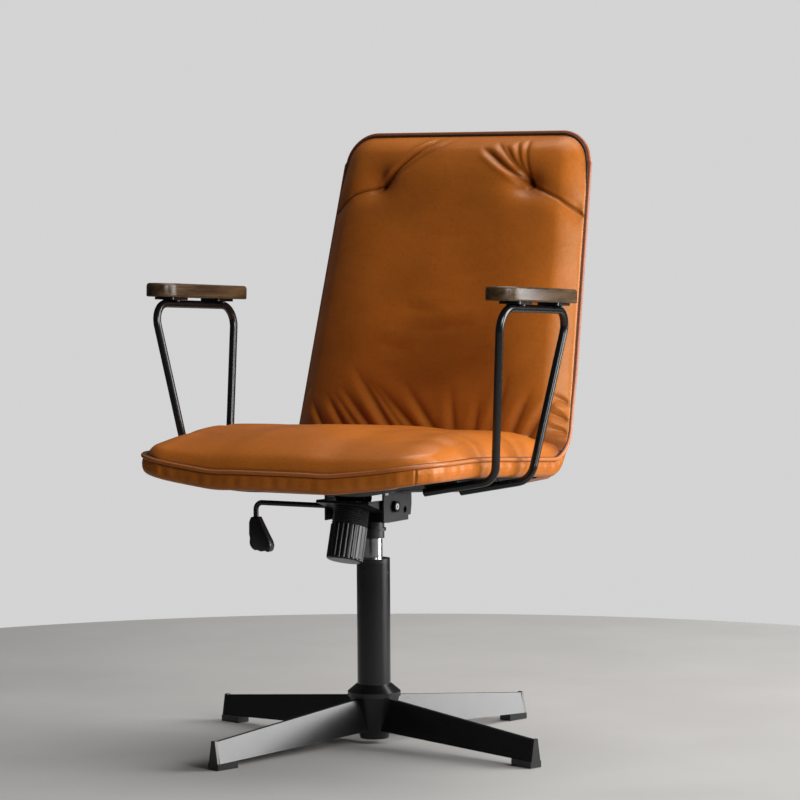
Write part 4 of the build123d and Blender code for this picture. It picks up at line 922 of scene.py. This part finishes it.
class CHAIR_OT_rear_cover(bpy.types.Operator):
    """Make the leather cover behind the back"""

    bl_idname = "chair.rear_cover"
    bl_label = "Rear cover"

    def execute(self, context):
        shell = Shell(context.scene.chair_shell)
        sizes = shell.s
        half_bend = sizes.bend * shell.turn

        def plan(u, v):
            """Places across the cover and along its bent run, and their distance to the edge."""
            x = u * sizes.back_half
            straight = sizes.back_rise - shell.bend_end(x)
            run = -REAR_TAIL + (v + 1) / 2 * (REAR_TAIL + half_bend + straight)
            rise = run - half_bend - (straight - sizes.back_rise)
            half = shell.back_half_at(np.maximum(rise, shell.bend_end(x)))
            x, across, along = corner_map(u, half, sizes.back_rise - rise, sizes.back_corner)
            run = half_bend + (sizes.back_rise - along) - shell.bend_end(x)
            return x, run, edge_distance(across, along, sizes.back_corner)

        def surface(x, run, away):
            """Points at a distance behind the shell, along its bent run."""
            turn = np.clip(run / sizes.bend, 0.0, shell.turn)
            beyond = np.maximum(run - half_bend, 0.0)
            depth = shell.bend_start(x) + sizes.bend * np.sin(turn) + np.minimum(run, 0.0)
            depth = depth + beyond * sin(shell.lean)
            up = shell.level(x) + sizes.bend * (1 - np.cos(turn)) + beyond * cos(shell.lean)
            return shell.seat_world(x, depth + away * np.sin(turn), up - away * np.cos(turn))

        def away(x, run, edge):
            """How far the cover's outer face lies behind the shell."""
            past = smooth_step(run / half_bend)
            room = REAR_ROOM * fade(run, ROOM_START, -REAR_TAIL)
            room = room * (1 - fade(run, ROOM_END, ROOM_SHARE * half_bend))
            thickness = (sizes.boxing - REAR_STEP) * (1 - past) + sizes.back_shell * past + room
            swell = REAR_SWELL * fade(edge, SWELL_SLOPE) + soft_noise(x, run, *REAR_WAVES)
            return thickness * rounded(edge / REAR_EDGE) + swell * fade(edge, SWELL_EDGE)

        def face(u, v):
            x, run, edge = plan(u, v)
            return surface(x, run, away(x, run, edge))

        def underside(u, v):
            x, run, edge = plan(u, v)
            wall = LEATHER_WALL * fade(v + 1, WALL_TAIL) * fade(edge, WALL_EDGE)
            return surface(x, run, away(x, run, edge) - wall)

        cover = pad_from_grid("rear_leather", *REAR_GRID, face, underside)
        cover.data.materials.append(leather_material(context.scene.chair_colours))
        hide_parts("rear_cover")
        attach(cover, "seat")
        return {"FINISHED"}


# How far the seat's welt lies ahead of the edge, and the resolution of its round section.
WELT_AHEAD = 0.0004
WELT_ROUND = 4
# Height over the seat's underside at which the back's welt begins, and the height over which it changes.
BACK_WELT_START = 0.095
BACK_WELT_RUN = 0.09


def back_share(context, height):
    """How much a height belongs to the back, from nothing on the seat to one above the bend."""
    return float(fade(height, BACK_WELT_RUN, context.scene.chair_shell.seat_height + BACK_WELT_START))


class CHAIR_OT_welt(bpy.types.Operator):
    """Make the welt cord round the edge of the seat and the back, and the seam that holds it, a dark cord of
    painted shadow in the welt's grooves
    """

    bl_idname = "chair.welt"
    bl_label = "Welt"

    def cord(self, context, name, rows, seat, back):
        """A closed cord along the edge; seat and back give its radius, its offset and its place ahead."""
        line = bpy.data.curves.new(name, "CURVE")
        line.dimensions = "3D"
        line.bevel_depth = seat[0]
        line.bevel_resolution = WELT_ROUND
        spline = line.splines.new("POLY")
        spline.points.add(len(rows) - 1)
        for point, (place, out, normal, part) in zip(spline.points, rows):
            above = back_share(context, place.z)
            radius, offset, ahead = (low + (high - low) * above for low, high in zip(seat, back))
            point.co = (*(place + out * offset + normal * ahead), 1.0)
            point.radius = radius / seat[0]
        spline.use_cyclic_u = True
        cord = place_new(context, name, line)
        bpy.ops.object.convert(target="MESH")
        bpy.ops.object.shade_smooth()
        return cord

    def execute(self, context):
        padding = context.scene.chair_padding
        half = rim(Shell(context.scene.chair_shell))
        rows = half + [(mirrored(p), mirrored(o), n, part) for p, o, n, part in reversed(half[1:-1])]
        # The seam cord peeks out either side of the welt; its dark leather is painted shadow in the welt's
        # grooves.
        seam = self.cord(
            context, "welt_seam_shadow", rows, (padding.seam_shadow_radius, padding.seam_shadow_offset, WELT_AHEAD),
            (padding.back_seam_shadow_radius, padding.seam_shadow_offset, padding.back_seam_shadow_ahead),
        )
        seam.data.materials.append(seam_shadow_material(context.scene.chair_colours))
        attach(seam, "seat")
        welt = self.cord(
            context, "welt_cord", rows, (padding.welt_radius, padding.welt_offset, WELT_AHEAD),
            (padding.welt_radius, padding.back_welt_offset, -padding.back_welt_behind),
        )
        shade = welt.data.color_attributes.new("shade", "FLOAT_COLOR", "POINT")
        for vertex, entry in zip(welt.data.vertices, shade.data):
            value = back_share(context, vertex.co.z)
            entry.color = (value, value, value, 1.0)
        welt.data.materials.append(welt_material(context.scene.chair_colours))
        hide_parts("welt")
        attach(welt, "seat")
        return {"FINISHED"}


def copied(context, name, node):
    """A new piece with a merged copy of a frame node's mesh, in edit mode with all of it selected."""
    piece = place_new(context, name, frame["nodes"][node].data.copy())
    edit_all()
    bpy.ops.mesh.remove_doubles(threshold=MERGE)
    return piece


# Lengths that a pad is cut into before it is bowed, and the angle up to which it is smooth.
PAD_CUTS = 20
PAD_SMOOTH = radians(30)


class CHAIR_OT_arm_pads(bpy.types.Operator):
    """Make the walnut arm pads, bowed along their outer sides"""

    bl_idname = "chair.arm_pads"
    bl_label = "Arm pads"

    def execute(self, context):
        bow = context.scene.chair_padding.pad_bow
        for node in ("arm_pad_left", "arm_pad_right"):
            low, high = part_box(node)
            inner = min(abs(low[0]), abs(high[0]))
            width = high[0] - low[0]
            middle = (low[1] + high[1]) / 2
            half = (high[1] - low[1]) / 2
            pad = copied(context, node.replace("arm_pad", "walnut_pad"), node)
            for cut in range(1, PAD_CUTS):
                bpy.ops.mesh.select_all(action="SELECT")
                place = low[1] + 2 * half * cut / PAD_CUTS
                bpy.ops.mesh.bisect(plane_co=(0.0, place, 0.0), plane_no=(0.0, 1.0, 0.0))
            bpy.ops.object.mode_set(mode="OBJECT")
            for vertex in pad.data.vertices:
                outer = (abs(vertex.co.x) - inner) / width
                along = (vertex.co.y - middle) / half
                vertex.co.x -= (1 if vertex.co.x > 0 else -1) * bow * outer * along * along
            bpy.ops.object.shade_smooth_by_angle(angle=PAD_SMOOTH)
            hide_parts(node)
            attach(pad, "seat")
        return {"FINISHED"}


PART_SMOOTH = radians(35)


class CHAIR_OT_neck(bpy.types.Operator):
    """Make the ringed neck and its spring from merged copies of the frame's meshes"""

    bl_idname = "chair.neck"
    bl_label = "Neck and spring"

    def execute(self, context):
        pieces = (("neck_rings", "bellows", "black_rubber"), ("neck_spring", "tension_spring", "steel"))
        axis = Vector(JOINTS["knob_turn"]["axis"])
        anchor = Vector(JOINTS["knob_turn"]["pos_m"])
        for name, node, slot in pieces:
            piece = copied(context, name, node)
            bpy.ops.object.mode_set(mode="OBJECT")
            bpy.ops.object.shade_smooth_by_angle(angle=PART_SMOOTH)
            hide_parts(node)
            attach(piece, "lift")
            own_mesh(piece)
        return {"FINISHED"}


# The grip's outline, across and up from where the rod enters it.
GRIP_OUTLINE = (
    (-0.0055, 0.000), (0.0060, 0.000), (0.0205, -0.026), (0.0265, -0.036), (0.0290, -0.043),
    (0.0275, -0.050), (0.0240, -0.0535), (0.0205, -0.0520), (0.0165, -0.0515), (0.0125, -0.0530),
    (0.0085, -0.0520), (0.0050, -0.0508), (0.0010, -0.0515), (-0.0035, -0.0490), (-0.0070, -0.0450),
    (-0.0085, -0.0400), (-0.0078, -0.0330), (-0.0092, -0.0260), (-0.0090, -0.0080),
)
LEVER_ROD_RADIUS = 0.004
GRIP_SOFTENING = 0.0016
GRIP_ROUND = 3


class CHAIR_OT_lever_grip(bpy.types.Operator):
    """Make the lever's grip with its finger waves"""

    bl_idname = "chair.lever_grip"
    bl_label = "Lever grip"

    def execute(self, context):
        thickness = context.scene.chair_padding.grip_thickness
        low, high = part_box("lever_paddle")
        rod_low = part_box("lever_rod")[0]
        start = Vector((rod_low[0] + LEVER_ROD_RADIUS, (low[1] + high[1] - thickness) / 2, high[2]))
        deselect()
        bpy.ops.mesh.primitive_circle_add(vertices=len(GRIP_OUTLINE), fill_type="NGON")
        grip = context.object
        grip.name = "lever_grip"
        for vertex, (across, up) in zip(grip.data.vertices, GRIP_OUTLINE):
            vertex.co = start + Vector((across, 0.0, up))
        edit_all()
        bpy.ops.mesh.extrude_region_move(TRANSFORM_OT_translate={"value": (0.0, thickness, 0.0)})
        turn_outward()
        soften = grip.modifiers.new("Soft edges", "BEVEL")
        soften.width = GRIP_SOFTENING
        soften.segments = GRIP_ROUND
        bpy.ops.object.modifier_apply(modifier=soften.name)
        bpy.ops.object.shade_smooth_by_angle(angle=PART_SMOOTH)
        grip.data.materials.append(bpy.data.materials[PLASTIC_NAME])
        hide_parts("lever_paddle")
        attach(grip, "lever")
        return {"FINISHED"}


def tinted(value, factor):
    """A colour made lighter or darker."""
    return tuple(channel * factor for channel in value)


def put(node, **sockets):
    """Set values on a node's sockets; a socket's name has underscores for its spaces."""
    for name, value in sockets.items():
        node.inputs[name.replace("_", " ")].default_value = value


class Finish:
    """A node material, with the nodes that the chair's finishes are made of."""

    def __init__(self, name):
        self.material = bpy.data.materials.new(name)
        self.material.use_nodes = True
        self.links = self.material.node_tree.links
        self.nodes = self.material.node_tree.nodes
        self.shader = self.nodes["Principled BSDF"]

    def node(self, kind, **sockets):
        """A new node with values on its sockets."""
        node = self.nodes.new(kind)
        put(node, **sockets)
        return node

    def dress(self, tone, sheen, low, high, normal=None, **sockets):
        """Give the shader a colour, a roughness between two limits, a normal and plain values."""
        self.links.new(tone, self.shader.inputs["Base Color"])
        self.links.new(self.span(sheen, low, high), self.shader.inputs["Roughness"])
        if normal is not None:
            self.links.new(normal, self.shader.inputs["Normal"])
        put(self.shader, **sockets)
        return self.material

    def place(self, scale=(1.0, 1.0, 1.0), location=(0.0, 0.0, 0.0)):
        """Object coordinates at a scale, moved to a place."""
        mapping = self.node("ShaderNodeMapping", Scale=scale, Location=location)
        self.links.new(self.node("ShaderNodeTexCoord").outputs["Object"], mapping.inputs["Vector"])
        return mapping.outputs["Vector"]

    def noise(self, place, scale, detail=4.0, rough=0.5):
        """A noise texture's value."""
        texture = self.node("ShaderNodeTexNoise", Scale=scale, Detail=detail, Roughness=rough)
        self.links.new(place, texture.inputs["Vector"])
        return texture.outputs["Fac"]

    def ramp(self, value, low, high, start=0.35, end=0.65):
        """A two-colour ramp over a value."""
        band = self.node("ShaderNodeValToRGB")
        for element, position, tone in zip(band.color_ramp.elements, (start, end), (low, high)):
            element.position = position
            element.color = (*tone, 1.0)
        self.links.new(value, band.inputs["Fac"])
        return band.outputs["Color"]

    def span(self, value, low, high):
        """A value spread between two limits."""
        spread = self.node("ShaderNodeMapRange", To_Min=low, To_Max=high)
        self.links.new(value, spread.inputs["Value"])
        return spread.outputs["Result"]

    def bump(self, value, strength, distance, below=None):
        """A bump from a height value, over another bump where one is given."""
        node = self.node("ShaderNodeBump", Strength=strength, Distance=distance)
        self.links.new(value, node.inputs["Height"])
        if below is not None:
            self.links.new(below, node.inputs["Normal"])
        return node.outputs["Normal"]

    def attribute(self, name):
        """A value that the mesh keeps."""
        node = self.node("ShaderNodeAttribute")
        node.attribute_name = name
        return node.outputs["Fac"]

    def multiply(self, base):
        """A node that multiplies a colour by another."""
        node = self.node("ShaderNodeMix")
        node.data_type = "RGBA"
        node.blend_type = "MULTIPLY"
        self.links.new(base, node.inputs["A"])
        return node

    def leather_grain(self, place):
        """Fine leather pebbles with soft larger creases."""
        cells = self.node("ShaderNodeTexVoronoi", Scale=520.0)
        self.links.new(place, cells.inputs["Vector"])
        fine = self.bump(cells.outputs["Distance"], strength=0.10, distance=0.0006)
        soft = self.noise(place, scale=38.0, detail=6.0, rough=0.55)
        soft = self.bump(soft, strength=0.10, distance=0.004, below=fine)
        level = self.noise(self.place(scale=(0.35, 1.0, 1.0)), scale=42.0, detail=3.0)
        return self.bump(level, strength=0.16, distance=0.005, below=soft)


def leather_material(colours):
    """Smooth tan leather with a fine grain and cloudy colour, and painted shade where the mesh keeps a crease
    value.
    """
    if LEATHER_NAME in bpy.data.materials:
        return bpy.data.materials[LEATHER_NAME]
    finish = Finish(LEATHER_NAME)
    place = finish.place()
    cloud = finish.noise(place, scale=7.0, detail=5.0, rough=0.55)
    tone = finish.ramp(cloud, tinted(colours.leather, 0.86), tinted(colours.leather, 1.10))
    speck = finish.noise(place, scale=210.0, detail=3.0, rough=0.6)
    fleck = finish.ramp(speck, (0.90, 0.88, 0.85), (1.0, 1.0, 1.0), start=0.30, end=0.50)
    flecked = finish.multiply(tone)
    put(flecked, Factor=1.0)
    finish.links.new(fleck, flecked.inputs["B"])
    # Painted shade: the crease attribute darkens the leather towards this dark brown in creases, seams and
    # where seat and back meet.
    crease_shaded = finish.multiply(flecked.outputs["Result"])
    crease_shaded.inputs["B"].default_value = (0.22, 0.12, 0.08, 1.0)
    finish.links.new(finish.attribute("crease"), crease_shaded.inputs["Factor"])
    return finish.dress(
        crease_shaded.outputs["Result"], finish.noise(place, scale=24.0), 0.30, 0.42, finish.leather_grain(place),
        Specular_IOR_Level=0.36, Specular_Tint=(1.0, 0.74, 0.46, 1.0), Coat_Weight=0.04, Coat_Roughness=0.25,
    )


def welt_material(colours):
    """Leather cord, tan round the seat and browner round the back."""
    finish = Finish("welt_leather")
    place = finish.place()
    low = tinted(colours.leather, 0.92)
    tone = finish.ramp(finish.attribute("shade"), low, tuple(colours.welt), start=0.0, end=1.0)
    return finish.dress(tone, finish.noise(place, scale=60.0), 0.36, 0.5, finish.leather_grain(place))


def seam_shadow_material(colours):
    """Dark leather of the stitched seam that shows beside the welt; its darkness is painted shadow for the
    welt's grooves.
    """
    finish = Finish("seam_leather")
    stitch = finish.noise(finish.place(), scale=420.0, detail=2.0)
    tone = finish.ramp(stitch, tinted(colours.leather, 0.06), tinted(colours.leather, 0.16))
    return finish.dress(tone, stitch, 0.6, 0.8)


def walnut_material(colours):
    """Dark oiled walnut with its grain along the pad."""
    finish = Finish("walnut")
    grain = finish.noise(finish.place(scale=(60.0, 5.0, 60.0)), scale=1.6, detail=7.0, rough=0.62)
    tone = finish.ramp(grain, tuple(colours.walnut_dark), tuple(colours.walnut), start=0.32, end=0.66)
    pores = finish.bump(grain, strength=0.12, distance=0.001)
    return finish.dress(tone, grain, 0.24, 0.34, pores, Specular_IOR_Level=0.32)


def plywood_material():
    """Pale plywood of the hidden boards."""
    finish = Finish("plywood")
    grain = finish.noise(finish.place(scale=(4.0, 40.0, 40.0)), scale=2.0, detail=6.0, rough=0.6)
    return finish.dress(finish.ramp(grain, (0.36, 0.24, 0.13), (0.52, 0.38, 0.23)), grain, 0.55, 0.75)


def paint_material(name, base, low_rough, high_rough, ripple):
    """Satin paint with a faint orange peel and a little unevenness of sheen."""
    finish = Finish(name)
    place = finish.place()
    cloud = finish.noise(place, scale=18.0)
    tone = finish.ramp(cloud, tinted(base, 0.8), tinted(base, 1.25))
    peel = finish.bump(finish.noise(place, scale=900.0, detail=2.0), strength=ripple, distance=0.0004)
    return finish.dress(tone, cloud, low_rough, high_rough, peel)


def metal_material(name, base, low_rough, high_rough, stretch=(1.0, 1.0, 1.0)):
    """Bare metal with fine marks."""
    finish = Finish(name)
    marks = finish.noise(finish.place(scale=stretch), scale=40.0, detail=5.0, rough=0.6)
    tone = finish.ramp(marks, tinted(base, 0.88), tinted(base, 1.08))
    return finish.dress(tone, marks, low_rough, high_rough, Metallic=1.0)


# Radius of a pivot bolt's head, and the shares of it where its bright ring begins and ends.
PIVOT_RADIUS = 0.010
PIVOT_RING = (0.16, 0.48)


def pivot_material(base, dark):
    """A pivot bolt's head: a bright middle with a dark socket, in a dark painted rim; the socket is a flat
    dark disc, painted shade for its hollow.
    """
    finish = Finish("pivot_zinc")
    centre = JOINTS["tilt"]["pos_m"]
    flat = finish.node("ShaderNodeVectorMath")
    flat.operation = "MULTIPLY"
    flat.inputs[1].default_value = (0.0, 1.0, 1.0)
    away = finish.node("ShaderNodeVectorMath")
    away.operation = "LENGTH"
    finish.links.new(finish.place(location=(0.0, -centre[1], -centre[2])), flat.inputs[0])
    finish.links.new(flat.outputs["Vector"], away.inputs[0])
    radius = finish.node("ShaderNodeMapRange", From_Max=PIVOT_RADIUS)
    finish.links.new(away.outputs["Value"], radius.inputs["Value"])
    # Painted shade: the ramp's dark middle stands for the shade inside the socket; the dark outside is the
    # rim's black paint.
    rings = finish.node("ShaderNodeValToRGB")
    rings.color_ramp.interpolation = "CONSTANT"
    rings.color_ramp.elements[0].color = (*dark, 1.0)
    rings.color_ramp.elements[1].position = PIVOT_RING[0]
    rings.color_ramp.elements[1].color = (*base, 1.0)
    rings.color_ramp.elements.new(PIVOT_RING[1]).color = (*dark, 1.0)
    finish.links.new(radius.outputs["Result"], rings.inputs["Fac"])
    marks = finish.noise(finish.place(), scale=60.0)
    return finish.dress(rings.outputs["Color"], marks, 0.26, 0.38, Metallic=0.6)


def cloth_material():
    """Black woven dust cover."""
    finish = Finish(CLOTH_NAME)
    place = finish.place()
    weave = finish.node("ShaderNodeTexChecker", Scale=900.0)
    put(weave, Color1=(0.010, 0.010, 0.010, 1.0), Color2=(0.022, 0.022, 0.022, 1.0))
    finish.links.new(place, weave.inputs["Vector"])
    return finish.dress(weave.outputs["Color"], finish.noise(place, scale=300.0), 0.8, 0.95)


class CHAIR_OT_finishes(bpy.types.Operator):
    """Give every rigid piece of the frame its finish"""

    bl_idname = "chair.finishes"
    bl_label = "Frame finishes"

    def execute(self, context):
        colours = context.scene.chair_colours
        finishes = {
            "black_metal": paint_material("black_paint", colours.paint, 0.20, 0.28, 0.03),
            "dark_metal": paint_material("dark_paint", tinted(colours.paint, 1.8), 0.36, 0.48, 0.06),
            "black_plastic": paint_material(PLASTIC_NAME, colours.plastic, 0.24, 0.34, 0.06),
            "black_rubber": paint_material("black_rubber", colours.plastic, 0.50, 0.66, 0.16),
            "chrome": metal_material("chrome", colours.chrome, 0.16, 0.24, stretch=(1.0, 1.0, 0.2)),
            "steel": metal_material("steel", colours.steel, 0.26, 0.40),
            "zinc": metal_material("zinc", tinted(colours.steel, 1.25), 0.24, 0.36),
            "walnut": walnut_material(colours),
            "plywood": plywood_material(),
            "tan_leather": leather_material(colours),
            "brown_leather": leather_material(colours),
            "black_cloth": cloth_material(),
        }
        chosen = {entry["node"]: finishes[entry["material_slot"]] for entry in frame["record"]["subparts"]}
        chosen["tension_bolt"] = finishes["dark_metal"]
        chosen["pad_screws"] = finishes["dark_metal"]
        chosen["pivot_bolts"] = pivot_material(colours.chrome, colours.paint)
        for name, node in frame["nodes"].items():
            node.data.materials.clear()
            node.data.materials.append(chosen[name])
        return {"FINISHED"}


FLOOR_GAP = 0.0005
FLOOR_SIDES = 256
FLOOR_ROUGHNESS = 0.9
# Colour and strength of the room's light, and the brightness of the wall that the camera sees.
ROOM_COLOUR = (0.80, 0.84, 0.88, 1.0)
ROOM_STRENGTH = 0.07
WALL_COLOUR = (1.0, 1.0, 1.0, 1.0)
WALL_STRENGTH = 0.655
# Square lamps, each with its name, its place, the place that it faces, its size and its power in watts.
LAMPS = (
    ("window", (3.1, 1.7, 1.35), (0.0, 0.0, 0.55), 2.6, 230.0),
    ("front", (3.5, -1.5, 1.8), (0.0, 0.1, 0.6), 1.3, 92.0),
    ("ceiling", (0.5, 1.2, 3.8), (0.0, 0.0, 0.0), 3.0, 120.0),
)
SENSOR_WIDTH = 36.0
CAMERA_REACH = 100.0


class CHAIR_OT_stage(bpy.types.Operator):
    """Set the floor, the lights and the camera"""

    bl_idname = "chair.stage"
    bl_label = "Stage"

    def floor(self, context):
        """The plain round floor."""
        tone = context.scene.chair_colours.floor
        deselect()
        bpy.ops.mesh.primitive_circle_add(
            vertices=FLOOR_SIDES, radius=context.scene.chair_view.floor_radius, fill_type="NGON",
            location=(0.0, 0.0, -FLOOR_GAP),
        )
        floor = context.object
        floor.name = "floor"
        bpy.ops.object.transform_apply(location=True)
        finish = Finish("pale_floor")
        cloud = finish.noise(finish.place(), scale=3.0)
        shade = finish.ramp(cloud, tinted(tone, 0.96), tinted(tone, 1.03))
        finish.links.new(shade, finish.shader.inputs["Base Color"])
        put(finish.shader, Roughness=FLOOR_ROUGHNESS, Specular_IOR_Level=0.0)
        floor.data.materials.append(finish.material)

    def light(self, context):
        """The dim room, the pale wall that only the camera sees, and the lamps."""
        world = bpy.data.worlds.new("studio")
        world.use_nodes = True
        nodes = world.node_tree.nodes
        links = world.node_tree.links
        room = nodes["Background"]
        put(room, Color=ROOM_COLOUR, Strength=ROOM_STRENGTH)
        wall = nodes.new("ShaderNodeBackground")
        put(wall, Color=WALL_COLOUR, Strength=WALL_STRENGTH)
        choice = nodes.new("ShaderNodeMixShader")
        links.new(nodes.new("ShaderNodeLightPath").outputs["Is Camera Ray"], choice.inputs["Fac"])
        links.new(room.outputs["Background"], choice.inputs[1])
        links.new(wall.outputs["Background"], choice.inputs[2])
        links.new(choice.outputs["Shader"], nodes["World Output"].inputs["Surface"])
        context.scene.world = world
        context.scene.view_settings.view_transform = "Standard"
        for name, place, target, size, power in LAMPS:
            light = bpy.data.lights.new(name, "AREA")
            light.size = size
            light.energy = power
            lamp = bpy.data.objects.new(name, light)
            context.collection.objects.link(lamp)
            lamp.location = place
            aim = Vector(target) - Vector(place)
            lamp.rotation_euler = aim.to_track_quat("-Z", "Y").to_euler()

    def camera(self, context):
        """The camera at the photograph's viewing angle."""
        view = context.scene.chair_view
        camera = bpy.data.objects.new("camera", bpy.data.cameras.new("camera"))
        context.collection.objects.link(camera)
        camera.data.lens = view.lens
        camera.data.sensor_width = SENSOR_WIDTH
        camera.data.clip_end = CAMERA_REACH
        turn = view.azimuth + view.pan
        ahead = Vector((-sin(turn) * cos(view.pitch), cos(turn) * cos(view.pitch), -sin(view.pitch)))
        right = Vector((cos(turn), sin(turn), 0.0))
        up = right.cross(ahead)
        level_right = right * cos(view.roll) + up * sin(view.roll)
        level_up = up * cos(view.roll) - right * sin(view.roll)
        pose = Matrix((level_right, level_up, -ahead)).transposed().to_4x4()
        pose.translation = (
            view.distance * sin(view.azimuth), -view.distance * cos(view.azimuth), view.height,
        )
        camera.matrix_world = pose
        context.scene.camera = camera

    def execute(self, context):
        self.floor(context)
        self.light(context)
        self.camera(context)
        return {"FINISHED"}


class CHAIR_PT_sidebar(bpy.types.Panel):
    """Lists the chair's pieces and sizes"""

    bl_label = "Office chair"
    bl_idname = "CHAIR_PT_sidebar"
    bl_space_type = "VIEW_3D"
    bl_region_type = "UI"
    bl_category = "Chair"

    def draw(self, context):
        for operator in OPERATORS:
            self.layout.operator(operator.bl_idname)
        for group in GROUPS:
            box = self.layout.box()
            box.label(text=group.__doc__)
            holder = getattr(context.scene, GROUPS[group])
            for name in group.__annotations__:
                box.prop(holder, name)


OPERATORS = (
    CHAIR_OT_finishes,
    CHAIR_OT_seat_cushion,
    CHAIR_OT_back_cushion,
    CHAIR_OT_boxing,
    CHAIR_OT_dust_cover,
    CHAIR_OT_rear_cover,
    CHAIR_OT_welt,
    CHAIR_OT_arm_pads,
    CHAIR_OT_neck,
    CHAIR_OT_lever_grip,
    CHAIR_OT_stage,
)
GROUPS = {
    ChairShell: "chair_shell",
    ChairPadding: "chair_padding",
    ChairColours: "chair_colours",
    ChairView: "chair_view",
}


def register():
    for group, name in GROUPS.items():
        bpy.utils.register_class(group)
        setattr(bpy.types.Scene, name, PointerProperty(type=group))
    for operator in OPERATORS:
        bpy.utils.register_class(operator)
    bpy.utils.register_class(CHAIR_PT_sidebar)


def unregister():
    bpy.utils.unregister_class(CHAIR_PT_sidebar)
    for operator in reversed(OPERATORS):
        bpy.utils.unregister_class(operator)
    for group, name in GROUPS.items():
        delattr(bpy.types.Scene, name)
        bpy.utils.unregister_class(group)


def main():
    """Build the chair and its stage."""
    register()
    bpy.ops.chair.finishes()
    bpy.ops.chair.seat_cushion()
    bpy.ops.chair.back_cushion()
    bpy.ops.chair.boxing()
    bpy.ops.chair.dust_cover()
    bpy.ops.chair.rear_cover()
    bpy.ops.chair.welt()
    bpy.ops.chair.arm_pads()
    bpy.ops.chair.neck()
    bpy.ops.chair.lever_grip()
    bpy.ops.chair.stage()


if __name__ == "__main__":
    main()
